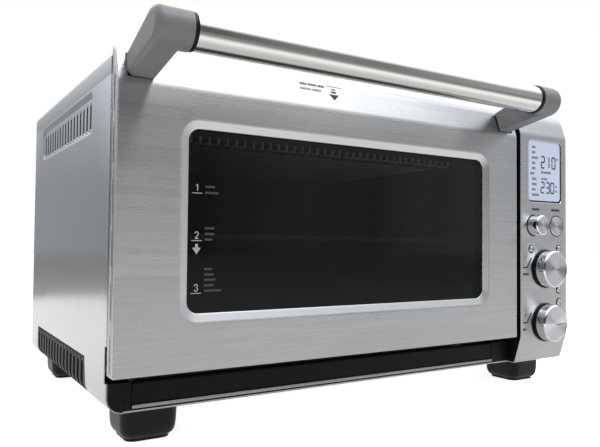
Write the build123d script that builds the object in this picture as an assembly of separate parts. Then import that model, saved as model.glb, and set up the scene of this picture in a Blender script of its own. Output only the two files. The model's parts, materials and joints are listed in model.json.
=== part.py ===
"""Countertop toaster oven with a drop-down door, a slide-out rack and a crumb tray.

Millimetres. X runs left to right, Y front to back, Z up. The origin lies on the table,
under the middle of the oven's overall box.
"""
import math
import os

from build123d import *

os.makedirs("parts", exist_ok=True)

# Overall body
body_width = 470.0
casing_depth = 294.0
casing_height = 243.5
foot_height = 23.5
sheet = 1.2
edge_radius = 12.0
rear_radius = 10.0
rear_flange = 8.0
slip = 0.3
past = 1.0

# Door
door_rise = 2.0
door_depth = 15.0
door_gap = 0.7
door_underside = 50.0
crown_height = 22.0
crown_setback = 6.0
crown_radius = 26.0
top_round = 3.0
door_stile = 50.0
door_header = 49.0
window_rise = 40.0
window_offset = 1.2
window_radius = 8.5
bevel_width = 9.0
bevel_depth = 2.2
glass_overlap = 6.0
glass_thickness = 4.0
inner_panel_inset = 0.6
door_edge = 0.8
door_slot_bridge = 8.0
door_slot_width = 2.4
door_slot_margin = 15.0
door_slot_count = 6
door_slot_setback = 8.2
door_slot_rise = 4.0
inner_panel_corner = 2.0
magnet_diameter = 9.0
magnet_height = 2.4

# Door hinge
hinge_setback = 9.0
hinge_rise = 8.0
hinge_inset = 22.0
hinge_plate = 3.0
hinge_pin_diameter = 5.0
pin_fit = 0.05
hinge_boss_radius = 6.0
hinge_plate_depth = 30.0
hinge_plate_top = 42.0
hinge_flange_width = 12.0
hinge_notch_gap = 1.0
hinge_notch_front = 2.0
hinge_notch_top = 4.0
leaf_plate = 2.0
leaf_height = 44.0
leaf_corner = 2.0

# Handle
handle_diameter = 23.6
handle_wall = 1.6
handle_axis_reach = 43.6
handle_rise = 2.3
bracket_inset = 6.5
bracket_arm_width = 18.0
bracket_length = 24.6
bracket_oversize = 1.0
bracket_edge = 5.0
bracket_foot_height = 18.0
bracket_foot_drop = 19.0
bracket_foot_sink = 1.0
ring_thickness = 3.0
spigot_length = 15.0
foot_gasket = 0.8

# Control fascia
fascia_width = 71.7
fascia_gap = 5.3
fascia_wall = 2.4
fascia_rise = 1.0
fascia_chin_height = 26.0
fascia_chin_setback = 8.0
fascia_edge = 1.0
display_width = 48.0
display_height = 61.5
display_radius = 4.0
display_drop = 24.5
display_recess = 0.8
lens_thickness = 2.0
display_side_shift = 0.6
control_centre_shift = 1.6
knob_diameter = 36.6
knob_height = 13.0
knob_edge = 1.4
knob_foot_edge = 0.5
knob_dish = 0.4
knob_rise = 38.9
knob_pitch = 54.0
knob_ring_diameter = 38.6
knob_ring_height = 2.2
knob_ring_edge = 0.6
knob_lift = 0.4
shaft_diameter = 6.0
shaft_cover = 3.6
shaft_end_gap = 0.4
encoder_size = 12.0
encoder_corner = 1.0
button_diameter = 20.0
button_drop = 24.0
button_spread = 36.0
raised_button_stand = 12.0
raised_button_travel = 3.0
raised_button_edge = 1.5
flush_button_stand = 0.6
flush_button_travel = 1.2
flush_button_edge = 0.6
tiny_button_diameter = 7.0
tiny_button_stand = 0.9
tiny_button_travel = 1.0
tiny_button_edge = 0.4
tiny_button_column = 21.6
tiny_button_rise = 20.1
tiny_button_middle_rise = 32.6
tiny_button_low_rise = 19.6
button_flange = 1.6
button_flange_thickness = 1.2
board_thickness = 1.6
board_margin = 4.0
switch_size = 6.0
switch_height = 2.5

# Cavity
cavity_margin = 30.5
cavity_depth = 270.0
cavity_roof_drop = 24.0
cavity_wall_rise = 16.5
sill_rise = 14.0
mouth_lip = 2.0
mouth_radius = 2.0
plinth_flange = 8.0
rack_low_level = 104.0
rack_middle_level = 141.0
rack_high_level = 175.0
runner_reach = 8.0
runner_drop = 8.0
runner_face = 1.6
runner_margin = 12.0
tube_diameter = 10.0
upper_tube_drop = 12.0
upper_tube_count = 3
upper_tube_pitch = 77.0
lower_tube_rise = 34.5
lower_tube_count = 2
lower_tube_pitch = 108.0
end_cap_length = 12.0
end_cap_size = 16.0
end_cap_corner = 3.0
end_cap_floor = 2.0
guard_drop = 13.0
guard_wire = 2.4
guard_pitch = 10.0
guard_margin = 24.0
guard_overhang = 8.0
guard_weld = 0.7
probe_diameter = 5.0
probe_length = 26.0
probe_head_diameter = 10.0
probe_head_length = 3.6
probe_setback = 30.0
probe_drop = 9.5

# Convection fan
fan_diameter = 92.0
fan_height = 150.0
fan_blades = 8
fan_blade_depth = 14.0
fan_blade_thickness = 1.2
fan_hub_diameter = 20.0
fan_housing_depth = 28.0
fan_running_gap = 5.0
motor_diameter = 46.0
motor_length = 34.0
motor_shaft = 5.0
motor_edge = 3.0
motor_hole_gap = 1.0
fan_blade_rake = 20.0
fan_blade_inset = 1.0
air_slot_count = 7
air_slot_pitch = 12.0
air_slot_rise = 17.0
air_slot_height = 18.0
air_slot_width = 4.0

# Wire rack and crumb tray
rack_rod = 5.0
rack_wire = 3.0
rack_wire_count = 19
rack_side_gap = 2.5
rack_corner = 10.0
rack_depth = 256.0
rack_stand_off = 3.4
tray_front_thickness = 4.0
tray_front_recess = 0.2
tray_front_round = 2.0
tray_lip_height = 2.6
tray_lip_reach = 1.6
tray_lip_round = 1.0
tray_rim_height = 10.0
tray_lift = 1.6
tray_depth = 262.0
tray_side_gap = 3.0
rail_height = 11.0
rail_thickness = 1.2
rail_setback = 4.0

# Plinth, grilles, vents and feet
corner_block_width = 17.5
corner_block_depth = 40.0
corner_block_wall = 2.4
dimple_diameter = 8.0
dimple_depth = 0.6
dimple_rise = 10.0
swing_clearance = 1.4
grille_front = 70.0
grille_rear = 271.0
grille_top = 54.0
grille_slope = 6.0
grille_thickness = 2.4
grille_recess = 0.3
grille_slots = 16
grille_slot_width = 6.5
grille_slot_height = 13.0
louvre_front = 65.0
louvre_length = 200.0
louvre_drop = 47.0
louvre_height = 32.0
louvre_recess = 0.5
louvre_slots = 17
louvre_slot_start = 12.0
louvre_slot_pitch = 9.7
louvre_slot_width = 3.6
louvre_slot_height = 19.4
louvre_slot_rise = 4.4
foot_size = 42.0
foot_radius = 9.0
foot_taper = 2.0
foot_inset = 13.5
foot_setback = 6.0
foot_pad_height = 2.0
foot_pad_inset = 5.0
base_slot_count = 8
base_slot_pitch = 41.5
base_slot_length = 41.0
base_slot_row_gap = 88.0
rear_slot_count = 16
rear_slot_width = 4.0
rear_slot_height = 40.0
rear_slot_pitch = 12.0
rear_slot_low_rise = 73.0
rear_slot_high_drop = 68.0
gland_diameter = 20.0
gland_bore = 8.0
gland_rise = 40.0
screw_head = 8.0
screw_head_height = 1.6
screw_low_rise = 61.0

# Planes and levels that follow from the sizes above
left = -body_width / 2
right = body_width / 2
handle_reach = handle_axis_reach + handle_diameter / 2 + bracket_oversize
overall_depth = handle_reach + door_depth + door_gap + casing_depth + screw_head_height
door_face = handle_reach - overall_depth / 2
door_back = door_face + door_depth
casing_front = door_back + door_gap
casing_rear = casing_front + casing_depth
casing_bottom = foot_height
casing_top = casing_bottom + casing_height
door_width = body_width - fascia_gap - fascia_width
door_left = left
door_right = left + door_width
door_middle = (door_left + door_right) / 2
door_top = casing_top + door_rise
door_height = door_top - door_underside
fascia_left = door_right + fascia_gap
fascia_middle = (fascia_left + right) / 2
control_middle = fascia_middle + control_centre_shift
frame_front = casing_front + sheet
frame_back = frame_front + sheet
door_slot_pitch = (door_height - door_slot_margin) / door_slot_count
door_slot_length = door_slot_pitch - door_slot_bridge
window_width = door_width - 2 * door_stile
window_sill = door_underside + window_rise
window_height = door_top - door_header - window_sill
window_middle = door_middle + window_offset
window_level = window_sill + window_height / 2
glass_front = door_face + bevel_depth + sheet
inner_panel_back = door_back - inner_panel_inset
inner_panel_front = inner_panel_back - sheet
hinge_y = door_face + hinge_setback
hinge_z = door_underside + hinge_rise
hinge_xs = [door_left + hinge_inset, door_right - hinge_inset]
cavity_width = door_width - 2 * cavity_margin
cavity_left = window_middle - cavity_width / 2
cavity_right = window_middle + cavity_width / 2
cavity_back = frame_back + cavity_depth
base_top = casing_bottom + sheet
handle_y = door_face - handle_axis_reach
handle_z = door_top + handle_rise
plinth_face = hinge_y + math.hypot(door_depth - hinge_setback, hinge_rise) + swing_clearance
plinth_top = hinge_z - math.hypot(hinge_setback, hinge_rise) - swing_clearance
cavity_sill = hinge_z + sill_rise
cavity_wall_bottom = casing_bottom + cavity_wall_rise
cavity_roof_height = casing_top - cavity_roof_drop
upper_tube_height = cavity_roof_height - upper_tube_drop
lower_tube_height = casing_bottom + lower_tube_rise
guard_height = upper_tube_height - guard_drop
probe_height = guard_height - probe_drop
rack_levels = [rack_low_level, rack_middle_level, rack_high_level]
rear_panel_back = casing_rear - sheet
fan_y = frame_back + cavity_depth / 2
tray_bottom = base_top + tray_lift
tray_front_face = casing_front + tray_front_recess
tray_front_span = (left + corner_block_width + slip, door_right - hinge_inset + hinge_plate - slip)
rack_height = rack_middle_level + slip + rack_rod / 2
rack_front = frame_front + rack_stand_off
guard_rod_height = guard_height - guard_wire + guard_weld
probe_y = cavity_back - probe_setback
gland_x = fascia_middle
gland_z = casing_bottom + gland_rise
display_middle = fascia_middle + display_side_shift
fascia_top = door_top + fascia_rise
display_bottom = fascia_top - display_drop - display_height
display_level = display_bottom + display_height / 2
button_height = display_bottom - button_drop
knob_lower_height = casing_bottom + knob_rise
knob_upper_height = knob_lower_height + knob_pitch
fascia_inside = door_face + fascia_wall
board_front = casing_front - board_thickness - slip
knob_places = [(control_middle, knob_upper_height), (control_middle, knob_lower_height)]
button_places = [(control_middle + side * button_spread / 2, button_height) for side in (-1, 1)]
tiny_places = [
    (control_middle - tiny_button_column, knob_upper_height + tiny_button_rise),
    (control_middle + tiny_button_column, knob_upper_height + tiny_button_rise),
    (control_middle + tiny_button_column, knob_lower_height + tiny_button_middle_rise),
    (control_middle + tiny_button_column, knob_lower_height + tiny_button_low_rise),
]
louvre_bottom = casing_top - louvre_drop
rear_slot_levels = [casing_bottom + rear_slot_low_rise, casing_top - rear_slot_high_drop]
foot_middles_x = [left + foot_inset + foot_size / 2, right - foot_inset - foot_size / 2]
foot_middles_y = [casing_front + foot_setback + foot_size / 2, casing_rear - foot_setback - foot_size / 2]


def front_plane(y):
    """Plane facing the user at depth y, with X to the right and Z up."""
    return Plane(origin=(0, y, 0), x_dir=(1, 0, 0), z_dir=(0, -1, 0))


def slab(sketch, front, back):
    """Extrude a front-view sketch between two depths."""
    return extrude(front_plane(back) * sketch, back - front)


def side_prism(sketch, x_start, x_end):
    """Extrude a side-view sketch, drawn as depth and height, between two X planes."""
    plane = Plane(origin=(x_start, 0, 0), x_dir=(0, 1, 0), z_dir=(1, 0, 0))
    return extrude(plane * sketch, x_end - x_start)


def level_slab(sketch, bottom, top):
    """Extrude a plan-view sketch between two heights."""
    return extrude(Plane.XY.offset(bottom) * sketch, top - bottom)


def box_between(x_span, y_span, z_span):
    """Block between opposite faces."""
    outline = Rectangle(x_span[1] - x_span[0], y_span[1] - y_span[0])
    return level_slab(Pos(sum(x_span) / 2, sum(y_span) / 2) * outline, z_span[0], z_span[1])


def panel(x_span, z_span, radius=0.0):
    """Front-view rectangle between two sides and two heights, with rounded corners if asked."""
    width = x_span[1] - x_span[0]
    height = z_span[1] - z_span[0]
    outline = RectangleRounded(width, height, radius) if radius else Rectangle(width, height)
    return Pos(sum(x_span) / 2, sum(z_span) / 2) * outline


def rod_x(x_span, y, z, diameter):
    """Round rod along X."""
    length = x_span[1] - x_span[0]
    return Pos(sum(x_span) / 2, y, z) * Rot(0, 90, 0) * Cylinder(diameter / 2, length)


def rod_y(x, y_span, z, diameter):
    """Round rod along Y."""
    length = y_span[1] - y_span[0]
    return Pos(x, sum(y_span) / 2, z) * Rot(90, 0, 0) * Cylinder(diameter / 2, length)


def facing_user(shape, x, y, z):
    """Place a turned piece, drawn about Z, so that its top faces the user."""
    return Pos(x, y, z) * Rot(90, 0, 0) * shape


def turned(points):
    """Revolve a half outline of radius and height about Z."""
    return revolve(Plane.XZ * make_face(Polyline(points, close=True)), Axis.Z)


def even_places(count, pitch, middle=0.0):
    """Evenly pitched places about a middle."""
    return [middle + (index - (count - 1) / 2) * pitch for index in range(count)]


# Casing: one rounded shell, parted along a seam below the top bend
def casing_block(shrink, past_front=0.0):
    """Rounded block of the casing, shrunk all round."""
    outline = panel(
        (left + shrink, right - shrink),
        (casing_bottom + shrink, casing_top - shrink),
        edge_radius - shrink,
    )
    block = slab(outline, casing_front - past_front, casing_rear - shrink)
    rear_edges = block.faces().sort_by(Axis.Y)[-1].edges()
    return fillet(rear_edges, rear_radius - shrink)


def grille_region(margin):
    """Side-view outline of the lower side grille, grown by a margin."""
    front = door_face + grille_front - margin
    rear = door_face + grille_rear + margin
    top = grille_top + margin
    outline = Polyline(
        (front, casing_bottom - edge_radius),
        (front, casing_bottom + sheet),
        (front + grille_slope, top),
        (rear, top),
        (rear, casing_bottom - edge_radius),
        close=True,
    )
    return make_face(outline)


def build_casing():
    """Top cover and two side panels of bent sheet, the left one relieved for the door's turning edge."""
    shell = casing_block(0.0) - casing_block(sheet, past_front=sheet)
    opening_half = body_width / 2 - rear_radius - rear_flange
    opening_top = casing_top - rear_radius - rear_flange
    rear_opening = panel((-opening_half, opening_half), (casing_bottom - sheet, opening_top))
    shell -= slab(rear_opening, casing_rear - 2 * edge_radius, casing_rear + sheet)
    floor_half = body_width / 2 - edge_radius
    shell -= box_between((-floor_half, floor_half), (casing_front - sheet, casing_rear + sheet),
                         (casing_bottom - sheet, casing_bottom + edge_radius))
    seam = casing_top - edge_radius - sheet
    everywhere = (casing_front - sheet, casing_rear + sheet)
    top_space = box_between((left, right), everywhere, (seam, casing_top))
    top_space += box_between((-opening_half, opening_half), (casing_rear - edge_radius, casing_rear + sheet),
                             (opening_top - sheet, casing_top))
    top = shell & top_space
    sides = (shell - top_space) & box_between((left, right), everywhere, (casing_bottom, seam - slip))
    field_front = door_face + louvre_front
    field = Pos(field_front + louvre_length / 2, louvre_bottom + louvre_height / 2)
    field = field * RectangleRounded(louvre_length, louvre_height, edge_radius / 2)
    slots = Sketch()
    slot_middle = field_front + louvre_slot_start + (louvre_slots - 1) / 2 * louvre_slot_pitch
    slot_level = louvre_bottom + louvre_slot_rise + louvre_slot_height / 2
    for y in even_places(louvre_slots, louvre_slot_pitch, slot_middle):
        slots += Pos(y, slot_level) * Rectangle(louvre_slot_width, louvre_slot_height)
    grille_hole = grille_region(slip)
    relief = panel((casing_front - hinge_boss_radius, plinth_face),
                   (plinth_top, hinge_z + plinth_face - hinge_y), hinge_boss_radius / 2)
    panels = []
    for side in (left, right):
        inward = 1 if side < 0 else -1
        half = box_between(sorted((side, 0)), everywhere, (casing_bottom, casing_top))
        skin = sorted((side - inward, side + inward * louvre_recess))
        wall = sorted((side - inward, side + inward * edge_radius))
        side_panel = (sides & half) - side_prism(field, *skin)
        side_panel = side_panel - side_prism(slots, *wall) - side_prism(grille_hole, *wall)
        if side == left:
            side_panel = side_panel - side_prism(relief, *wall)
        panels.append(side_panel)
    return top, panels[0], panels[1]


def build_side_grille(side):
    """Black moulded grille that follows the casing's lower bend."""
    inward = 1 if side < 0 else -1
    skin = casing_block(grille_recess) - casing_block(grille_recess + grille_thickness)
    reach = sorted((side, side + inward * (edge_radius - slip)))
    grille = skin & side_prism(grille_region(0.0), *reach)
    middle = door_face + (grille_front + grille_slope + grille_rear) / 2
    pitch = (grille_rear - grille_front - grille_slope) / (grille_slots + 1)
    slot_level = casing_bottom + edge_radius + slip + grille_slot_height / 2
    slots = Sketch()
    for y in even_places(grille_slots, pitch, middle):
        slots += Pos(y, slot_level) * Rectangle(grille_slot_width, grille_slot_height)
    return grille - side_prism(slots, *sorted((side, side + inward * edge_radius)))


def build_rear_panel():
    """Flat rear sheet behind the casing's flange, with two fields of vent slots and a cord hole."""
    half = body_width / 2 - edge_radius - slip
    outline = panel((-half, half), (base_top, casing_top - rear_radius - sheet), edge_radius - sheet)
    slots = Sketch()
    for z in rear_slot_levels:
        for x in even_places(rear_slot_count, rear_slot_pitch, window_middle):
            slots += Pos(x, z) * SlotOverall(rear_slot_height, rear_slot_width, rotation=90)
    cord_hole = Pos(gland_x, gland_z) * Circle(gland_diameter / 2 - sheet)
    return slab(outline - slots - cord_hole, rear_panel_back - sheet, rear_panel_back)


def build_cord_gland():
    """Empty bush in the rear panel's cord hole."""
    neck = gland_diameter / 2 - sheet - pin_fit
    bush = turned([
        (gland_bore / 2, 0),
        (gland_diameter / 2, 0),
        (gland_diameter / 2, sheet),
        (neck, sheet),
        (neck, 3 * sheet),
        (gland_bore / 2, 3 * sheet),
    ])
    return Pos(gland_x, casing_rear, gland_z) * Rot(90, 0, 0) * bush


def screw_places():
    """Places of the screws that hold the rear panel to the casing's flange."""
    x_reach = body_width / 2 - rear_radius - rear_flange / 2
    top = casing_top - rear_radius - rear_flange / 2
    low = casing_bottom + screw_low_rise
    high = top - edge_radius
    return [(-x_reach, low), (-x_reach, high), (x_reach, low), (x_reach, high), (0, top)]


def build_casing_screws():
    """Pan heads of the screws on the rear flange."""
    screws = []
    for x, z in screw_places():
        head = turned([
            (0, 0),
            (screw_head / 2, 0),
            (screw_head / 2, screw_head_height / 2),
            (screw_head / 2 - screw_head_height / 2, screw_head_height),
            (0, screw_head_height),
        ])
        screws.append(Pos(x, casing_rear, z) * Rot(-90, 0, 0) * head)
    return Compound(children=screws)


def build_base_plate():
    """Floor sheet with cooling slots between the side panels' bends."""
    half = body_width / 2 - edge_radius - slip
    depth = casing_rear - sheet - casing_front - sheet
    outline = Pos(0, casing_front + sheet + depth / 2) * Rectangle(2 * half, depth)
    slots = Sketch()
    for x in even_places(base_slot_count, base_slot_pitch, window_middle):
        for y in even_places(2, base_slot_row_gap, casing_front + casing_depth / 2):
            slots += Pos(x, y) * SlotOverall(base_slot_length, rear_slot_width, rotation=90)
    return level_slab(outline - slots, casing_bottom, base_top)


# Front frame, plinth and corner blocks
def build_front_frame():
    """Black front sheet round the cavity mouth and the control bay."""
    inset = sheet + slip
    outline = panel((left + inset, right - inset), (cavity_sill, casing_top - inset), edge_radius - inset)
    square_foot = panel((left + inset, right - inset), (cavity_sill, cavity_sill + 2 * edge_radius))
    mouth = panel((cavity_left, cavity_right), (cavity_sill + mouth_lip, cavity_roof_height), mouth_radius)
    bay = panel((fascia_left + fascia_wall, right - fascia_wall - sheet),
                (cavity_sill + edge_radius, casing_top - edge_radius), mouth_radius)
    return slab(outline + square_foot - mouth - bay, frame_front, frame_back)


def build_plinth_strip():
    """Folded strip behind the door's bottom edge, from the frame's sill down to the tray front."""
    reach = Polyline(
        (frame_back, cavity_sill + plinth_flange),
        (frame_back, cavity_sill),
        (plinth_face, cavity_sill),
        (plinth_face, plinth_top),
        (plinth_face + sheet, plinth_top),
        (plinth_face + sheet, cavity_sill + sheet),
        (frame_back + sheet, cavity_sill + sheet),
        (frame_back + sheet, cavity_sill + plinth_flange),
        close=True,
    )
    ends = (hinge_xs[0] + hinge_plate, hinge_xs[1] - hinge_plate)
    return side_prism(make_face(reach), *ends)


def build_corner_blocks():
    """Black moulded ends of the plinth, rounded with the casing's lower bend."""
    depth_span = (casing_front, casing_front + corner_block_depth)
    left_block = casing_block(sheet + slip, past_front=sheet)
    left_block &= box_between((left, left + corner_block_width), depth_span, (base_top, plinth_top))
    right_span = (door_right - hinge_inset + hinge_plate, fascia_left - slip)
    right_block = box_between(right_span, depth_span, (base_top, plinth_top))
    hollow_span = (depth_span[0] + 2 * corner_block_wall, depth_span[1] + past)
    hollow_levels = (base_top + corner_block_wall, plinth_top - corner_block_wall)
    left_hollow = (left + edge_radius, left + corner_block_width - corner_block_wall)
    right_hollow = (right_span[0] + corner_block_wall, right_span[1] - corner_block_wall)
    left_block -= box_between(left_hollow, hollow_span, hollow_levels)
    right_block -= box_between(right_hollow, hollow_span, hollow_levels)
    dimple = Cylinder(dimple_diameter / 2, 2 * dimple_depth)
    dimple_x = left + (sheet + slip + corner_block_width) / 2
    left_block -= facing_user(dimple, dimple_x, casing_front, base_top + dimple_rise)
    return left_block, right_block


# Hinges
def hinge_outline():
    """Side view of the fixed hinge plate: an eye in the door, a neck and a tall root behind the frame."""
    root_front = frame_back
    root_back = frame_back + hinge_plate_depth
    eye = Pos(hinge_y, hinge_z) * Circle(hinge_boss_radius)
    neck = panel((hinge_y, root_back), (hinge_z - hinge_boss_radius, hinge_z + hinge_boss_radius))
    root_levels = (hinge_z - hinge_boss_radius, hinge_z + hinge_plate_top)
    root = panel((root_front, root_back), root_levels, hinge_boss_radius / 2)
    return eye + neck + root - Pos(hinge_y, hinge_z) * Circle(hinge_pin_diameter / 2 + pin_fit)


def build_hinge_bracket(x, outward):
    """Steel hinge plate with a flange bent outward against the frame's back."""
    plate = side_prism(hinge_outline(), x - hinge_plate / 2, x + hinge_plate / 2)
    flange_span = sorted((x, x + outward * hinge_flange_width))
    flange_levels = (cavity_sill + mouth_lip, hinge_z + hinge_plate_top - hinge_boss_radius)
    flange = box_between(flange_span, (frame_back, frame_back + hinge_plate), flange_levels)
    return plate + flange


def build_hinge_leaf(x):
    """U-shaped leaf inside the door: two cheeks that hold the pin, joined by a web on the inner panel."""
    gap = hinge_plate / 2 + slip
    bottom = hinge_z - hinge_boss_radius + sheet
    top = bottom + leaf_height
    front = hinge_y - hinge_boss_radius + sheet
    cheek = panel((front, inner_panel_front), (bottom, top), leaf_corner)
    cheek -= Pos(hinge_y, hinge_z) * Circle(hinge_pin_diameter / 2)
    reach = gap + leaf_plate
    leaf = side_prism(cheek, x - reach, x - gap) + side_prism(cheek, x + gap, x + reach)
    web_levels = (hinge_z + 2 * hinge_boss_radius, top - leaf_corner)
    web_depth = (inner_panel_front - leaf_plate, inner_panel_front)
    return leaf + box_between((x - reach, x + reach), web_depth, web_levels)


def build_hinge_pins():
    """Pins pressed in the leaves' cheeks."""
    half = hinge_plate / 2 + slip + leaf_plate
    pins = [rod_x((x - half, x + half), hinge_y, hinge_z, hinge_pin_diameter) for x in hinge_xs]
    return Compound(children=pins)


# Door
def skin_outline(inset, bottom, top, front, back):
    """Side view of a front skin: upright face, a crown that leans back, a rounded top."""
    face = front + inset
    peak = top - inset
    base = bottom + inset
    outline = make_face(Polyline(
        (face, base),
        (face, top - crown_height),
        (face + crown_setback, peak - top_round),
        (face + crown_setback + top_round, peak),
        (back, peak),
        (back, base),
        close=True,
    ))
    shoulder = outline.vertices().sort_by_distance(Vector(face, top - crown_height, 0))[0]
    outline = fillet(shoulder, crown_radius)
    crest = outline.vertices().sort_by_distance(Vector(face + crown_setback, peak - top_round, 0))[0]
    return fillet(crest, top_round)


def soften_sides(block, back, radius):
    """Round the two side rims of a front skin, all but their back edges."""
    rims = [edge for face in (block.faces().sort_by(Axis.X)[0], block.faces().sort_by(Axis.X)[-1])
            for edge in face.edges() if edge.center().Y < back - radius]
    return fillet(rims, radius)


def door_solid(forward=0.0):
    """Filled outer form of the door, moved forward if asked."""
    outline = skin_outline(0.0, door_underside, door_top, door_face - forward, door_back)
    return soften_sides(side_prism(outline, door_left, door_right), door_back, door_edge)


def window_outline(grow):
    """Window shape grown by a margin."""
    outline = RectangleRounded(window_width + 2 * grow, window_height + 2 * grow, window_radius + grow)
    return Pos(window_middle, window_level) * outline


def window_bevel(grow, front, back):
    """Sloped recess from the door's face down to the glass edge."""
    wide = front_plane(front) * window_outline(bevel_width + grow)
    narrow = front_plane(back) * window_outline(grow)
    return loft([wide.face(), narrow.face()], ruled=True)


def hinge_notch(levels):
    """Slots that let the hinge plates into the door."""
    half = hinge_plate / 2 + hinge_notch_gap
    depth_span = (door_face + hinge_notch_front, door_back + past)
    return [box_between((x - half, x + half), depth_span, levels) for x in hinge_xs]


def build_door_outer_panel():
    """Pressed steel pan with a bevelled window and vent slots in both edges."""
    inner = skin_outline(sheet, door_underside, door_top, door_face, door_back + sheet)
    shell = door_solid() - side_prism(inner, door_left + sheet, door_right - sheet)
    shell += window_bevel(2 * sheet, door_face + sheet / 2, glass_front)
    shell -= window_bevel(0.0, door_face, door_face + bevel_depth)
    shell -= slab(window_outline(0.0), door_face - past, glass_front + past)
    for notch in hinge_notch((door_underside - past, door_underside + 2 * sheet)):
        shell -= notch
    slots = Sketch()
    middle = door_underside + (door_height - crown_height) / 2 + door_slot_rise
    for z in even_places(door_slot_count, door_slot_pitch, middle):
        slots += Pos(door_face + door_slot_setback, z) * Rectangle(door_slot_width, door_slot_length)
    return shell - side_prism(slots, door_left - past, door_right + past)


def build_door_glass():
    """Flat tempered pane behind the bevel."""
    return slab(window_outline(glass_overlap), glass_front, glass_front + glass_thickness)


def build_door_inner_panel():
    """Inner sheet with a collar that presses the glass against the outer panel."""
    inset = sheet + slip
    levels = (door_underside + inset, door_top - top_round - inset)
    outline = panel((door_left + inset, door_right - inset), levels, inner_panel_corner)
    collar = window_outline(2 * sheet) - window_outline(sheet)
    inner = slab(outline - window_outline(sheet), inner_panel_front, inner_panel_back)
    inner += slab(collar, glass_front + glass_thickness, inner_panel_back)
    for notch in hinge_notch((door_underside - past, hinge_z + hinge_boss_radius + hinge_notch_top)):
        inner -= notch
    return inner


def build_door_magnets():
    """Round magnets on the inner panel that draw the rack out."""
    reach = window_width / 2 + magnet_diameter
    span = (inner_panel_back, inner_panel_back + magnet_height)
    magnets = [rod_y(window_middle + side * reach, span, rack_height, magnet_diameter) for side in (-1, 1)]
    return Compound(children=magnets)


# Handle
def bracket_outline():
    """Side view of a handle bracket: a round end drawn back to the foot on the door's crown."""
    barrel = Pos(handle_y, handle_z) * Circle(handle_diameter / 2 + bracket_oversize)
    foot_low = door_top - bracket_foot_drop
    foot_span = (door_face + bracket_foot_sink, door_face + crown_setback)
    foot = panel(foot_span, (foot_low, foot_low + bracket_foot_height))
    return make_hull(barrel.edges() + foot.edges())


def bracket_arm(inward):
    """Filled arm of a bracket, reaching into the door's crown."""
    outer = bracket_outer_x(inward)
    inner = outer + inward * bracket_arm_width
    return side_prism(bracket_outline(), *sorted((outer, inner)))


def bracket_outer_x(inward):
    """Outer end of the left or right bracket."""
    return door_left + bracket_inset if inward > 0 else door_right - bracket_inset


def build_handle_bracket(inward):
    """Cast bracket: an arm with a rounded outer edge, a barrel and a spigot inside the tube."""
    outer = bracket_outer_x(inward)
    barrel_end = outer + inward * bracket_length
    barrel_diameter = handle_diameter + 2 * bracket_oversize
    arm = bracket_arm(inward)
    arm += rod_x(sorted((outer, barrel_end)), handle_y, handle_z, barrel_diameter)
    end_face = arm.faces().sort_by(Axis.X)[0 if inward > 0 else -1]
    rim = [edge for edge in end_face.edges() if edge.center().Y < door_face]
    arm = fillet(rim, bracket_edge)
    arm -= door_solid(foot_gasket)
    spigot_span = sorted((barrel_end, barrel_end + inward * (ring_thickness + spigot_length)))
    return arm + rod_x(spigot_span, handle_y, handle_z, handle_diameter - 2 * handle_wall - 2 * pin_fit)


def build_handle_bar():
    """Brushed tube between the two end rings."""
    start = bracket_outer_x(1) + bracket_length + ring_thickness
    end = bracket_outer_x(-1) - bracket_length - ring_thickness
    tube = rod_x((start, end), handle_y, handle_z, handle_diameter)
    return tube - rod_x((start - past, end + past), handle_y, handle_z, handle_diameter - 2 * handle_wall)


def build_handle_gaskets():
    """Black rings at the tube's ends and thin gaskets under the bracket feet."""
    gaskets = []
    for inward in (1, -1):
        barrel_end = bracket_outer_x(inward) + inward * bracket_length
        span = sorted((barrel_end, barrel_end + inward * ring_thickness))
        ring = rod_x(span, handle_y, handle_z, handle_diameter + bracket_oversize)
        bore_span = (span[0] - past, span[1] + past)
        bore = rod_x(bore_span, handle_y, handle_z, handle_diameter - 2 * handle_wall)
        gaskets.append(ring - bore)
        gaskets.append((bracket_arm(inward) & door_solid(foot_gasket)) - door_solid())
    return Compound(children=gaskets)


# Control fascia
def fascia_outline(inset, back):
    """Side view of the fascia: the door's crown on top and a chin that leans back at the bottom."""
    face = door_face + inset
    top = fascia_top
    peak = top - inset
    base = casing_bottom + inset
    outline = make_face(Polyline(
        (face + fascia_chin_setback, base),
        (face, casing_bottom + fascia_chin_height),
        (face, top - crown_height),
        (face + crown_setback, peak - top_round),
        (face + crown_setback + top_round, peak),
        (back, peak),
        (back, base),
        close=True,
    ))
    for y, z, radius in (
        (face, top - crown_height, crown_radius),
        (face, casing_bottom + fascia_chin_height, crown_radius / 2),
        (face + crown_setback, peak - top_round, top_round),
    ):
        corner = outline.vertices().sort_by_distance(Vector(y, z, 0))[0]
        outline = fillet(corner, radius)
    return outline


def build_control_fascia():
    """Steel-faced control shell with holes for the controls and posts for the board."""
    block = side_prism(fascia_outline(0.0, casing_front), fascia_left, right)
    hollow = fascia_outline(fascia_wall, casing_front + past)
    shell = soften_sides(block, casing_front, fascia_edge)
    shell -= side_prism(hollow, fascia_left + fascia_wall, right - fascia_wall)
    display = RectangleRounded(display_width, display_height, display_radius)
    shell -= slab(Pos(display_middle, display_level) * display, door_face - past, fascia_inside + past)
    holes = Sketch()
    for x, z in button_places:
        holes += Pos(x, z) * Circle(button_diameter / 2 + slip)
    for x, z in tiny_places:
        holes += Pos(x, z) * Circle(tiny_button_diameter / 2 + slip)
    for x, z in knob_places:
        holes += Pos(x, z) * Circle(shaft_diameter / 2 + slip)
    shell -= slab(holes, door_face - past, fascia_inside + past)
    posts = Sketch()
    for x in (fascia_left + fascia_wall + board_margin, right - fascia_wall - board_margin):
        for z in (knob_lower_height - button_diameter, display_bottom - 2 * display_radius):
            posts += Pos(x, z) * Circle(board_margin / 2)
    return shell + slab(posts, fascia_inside, board_front)


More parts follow.
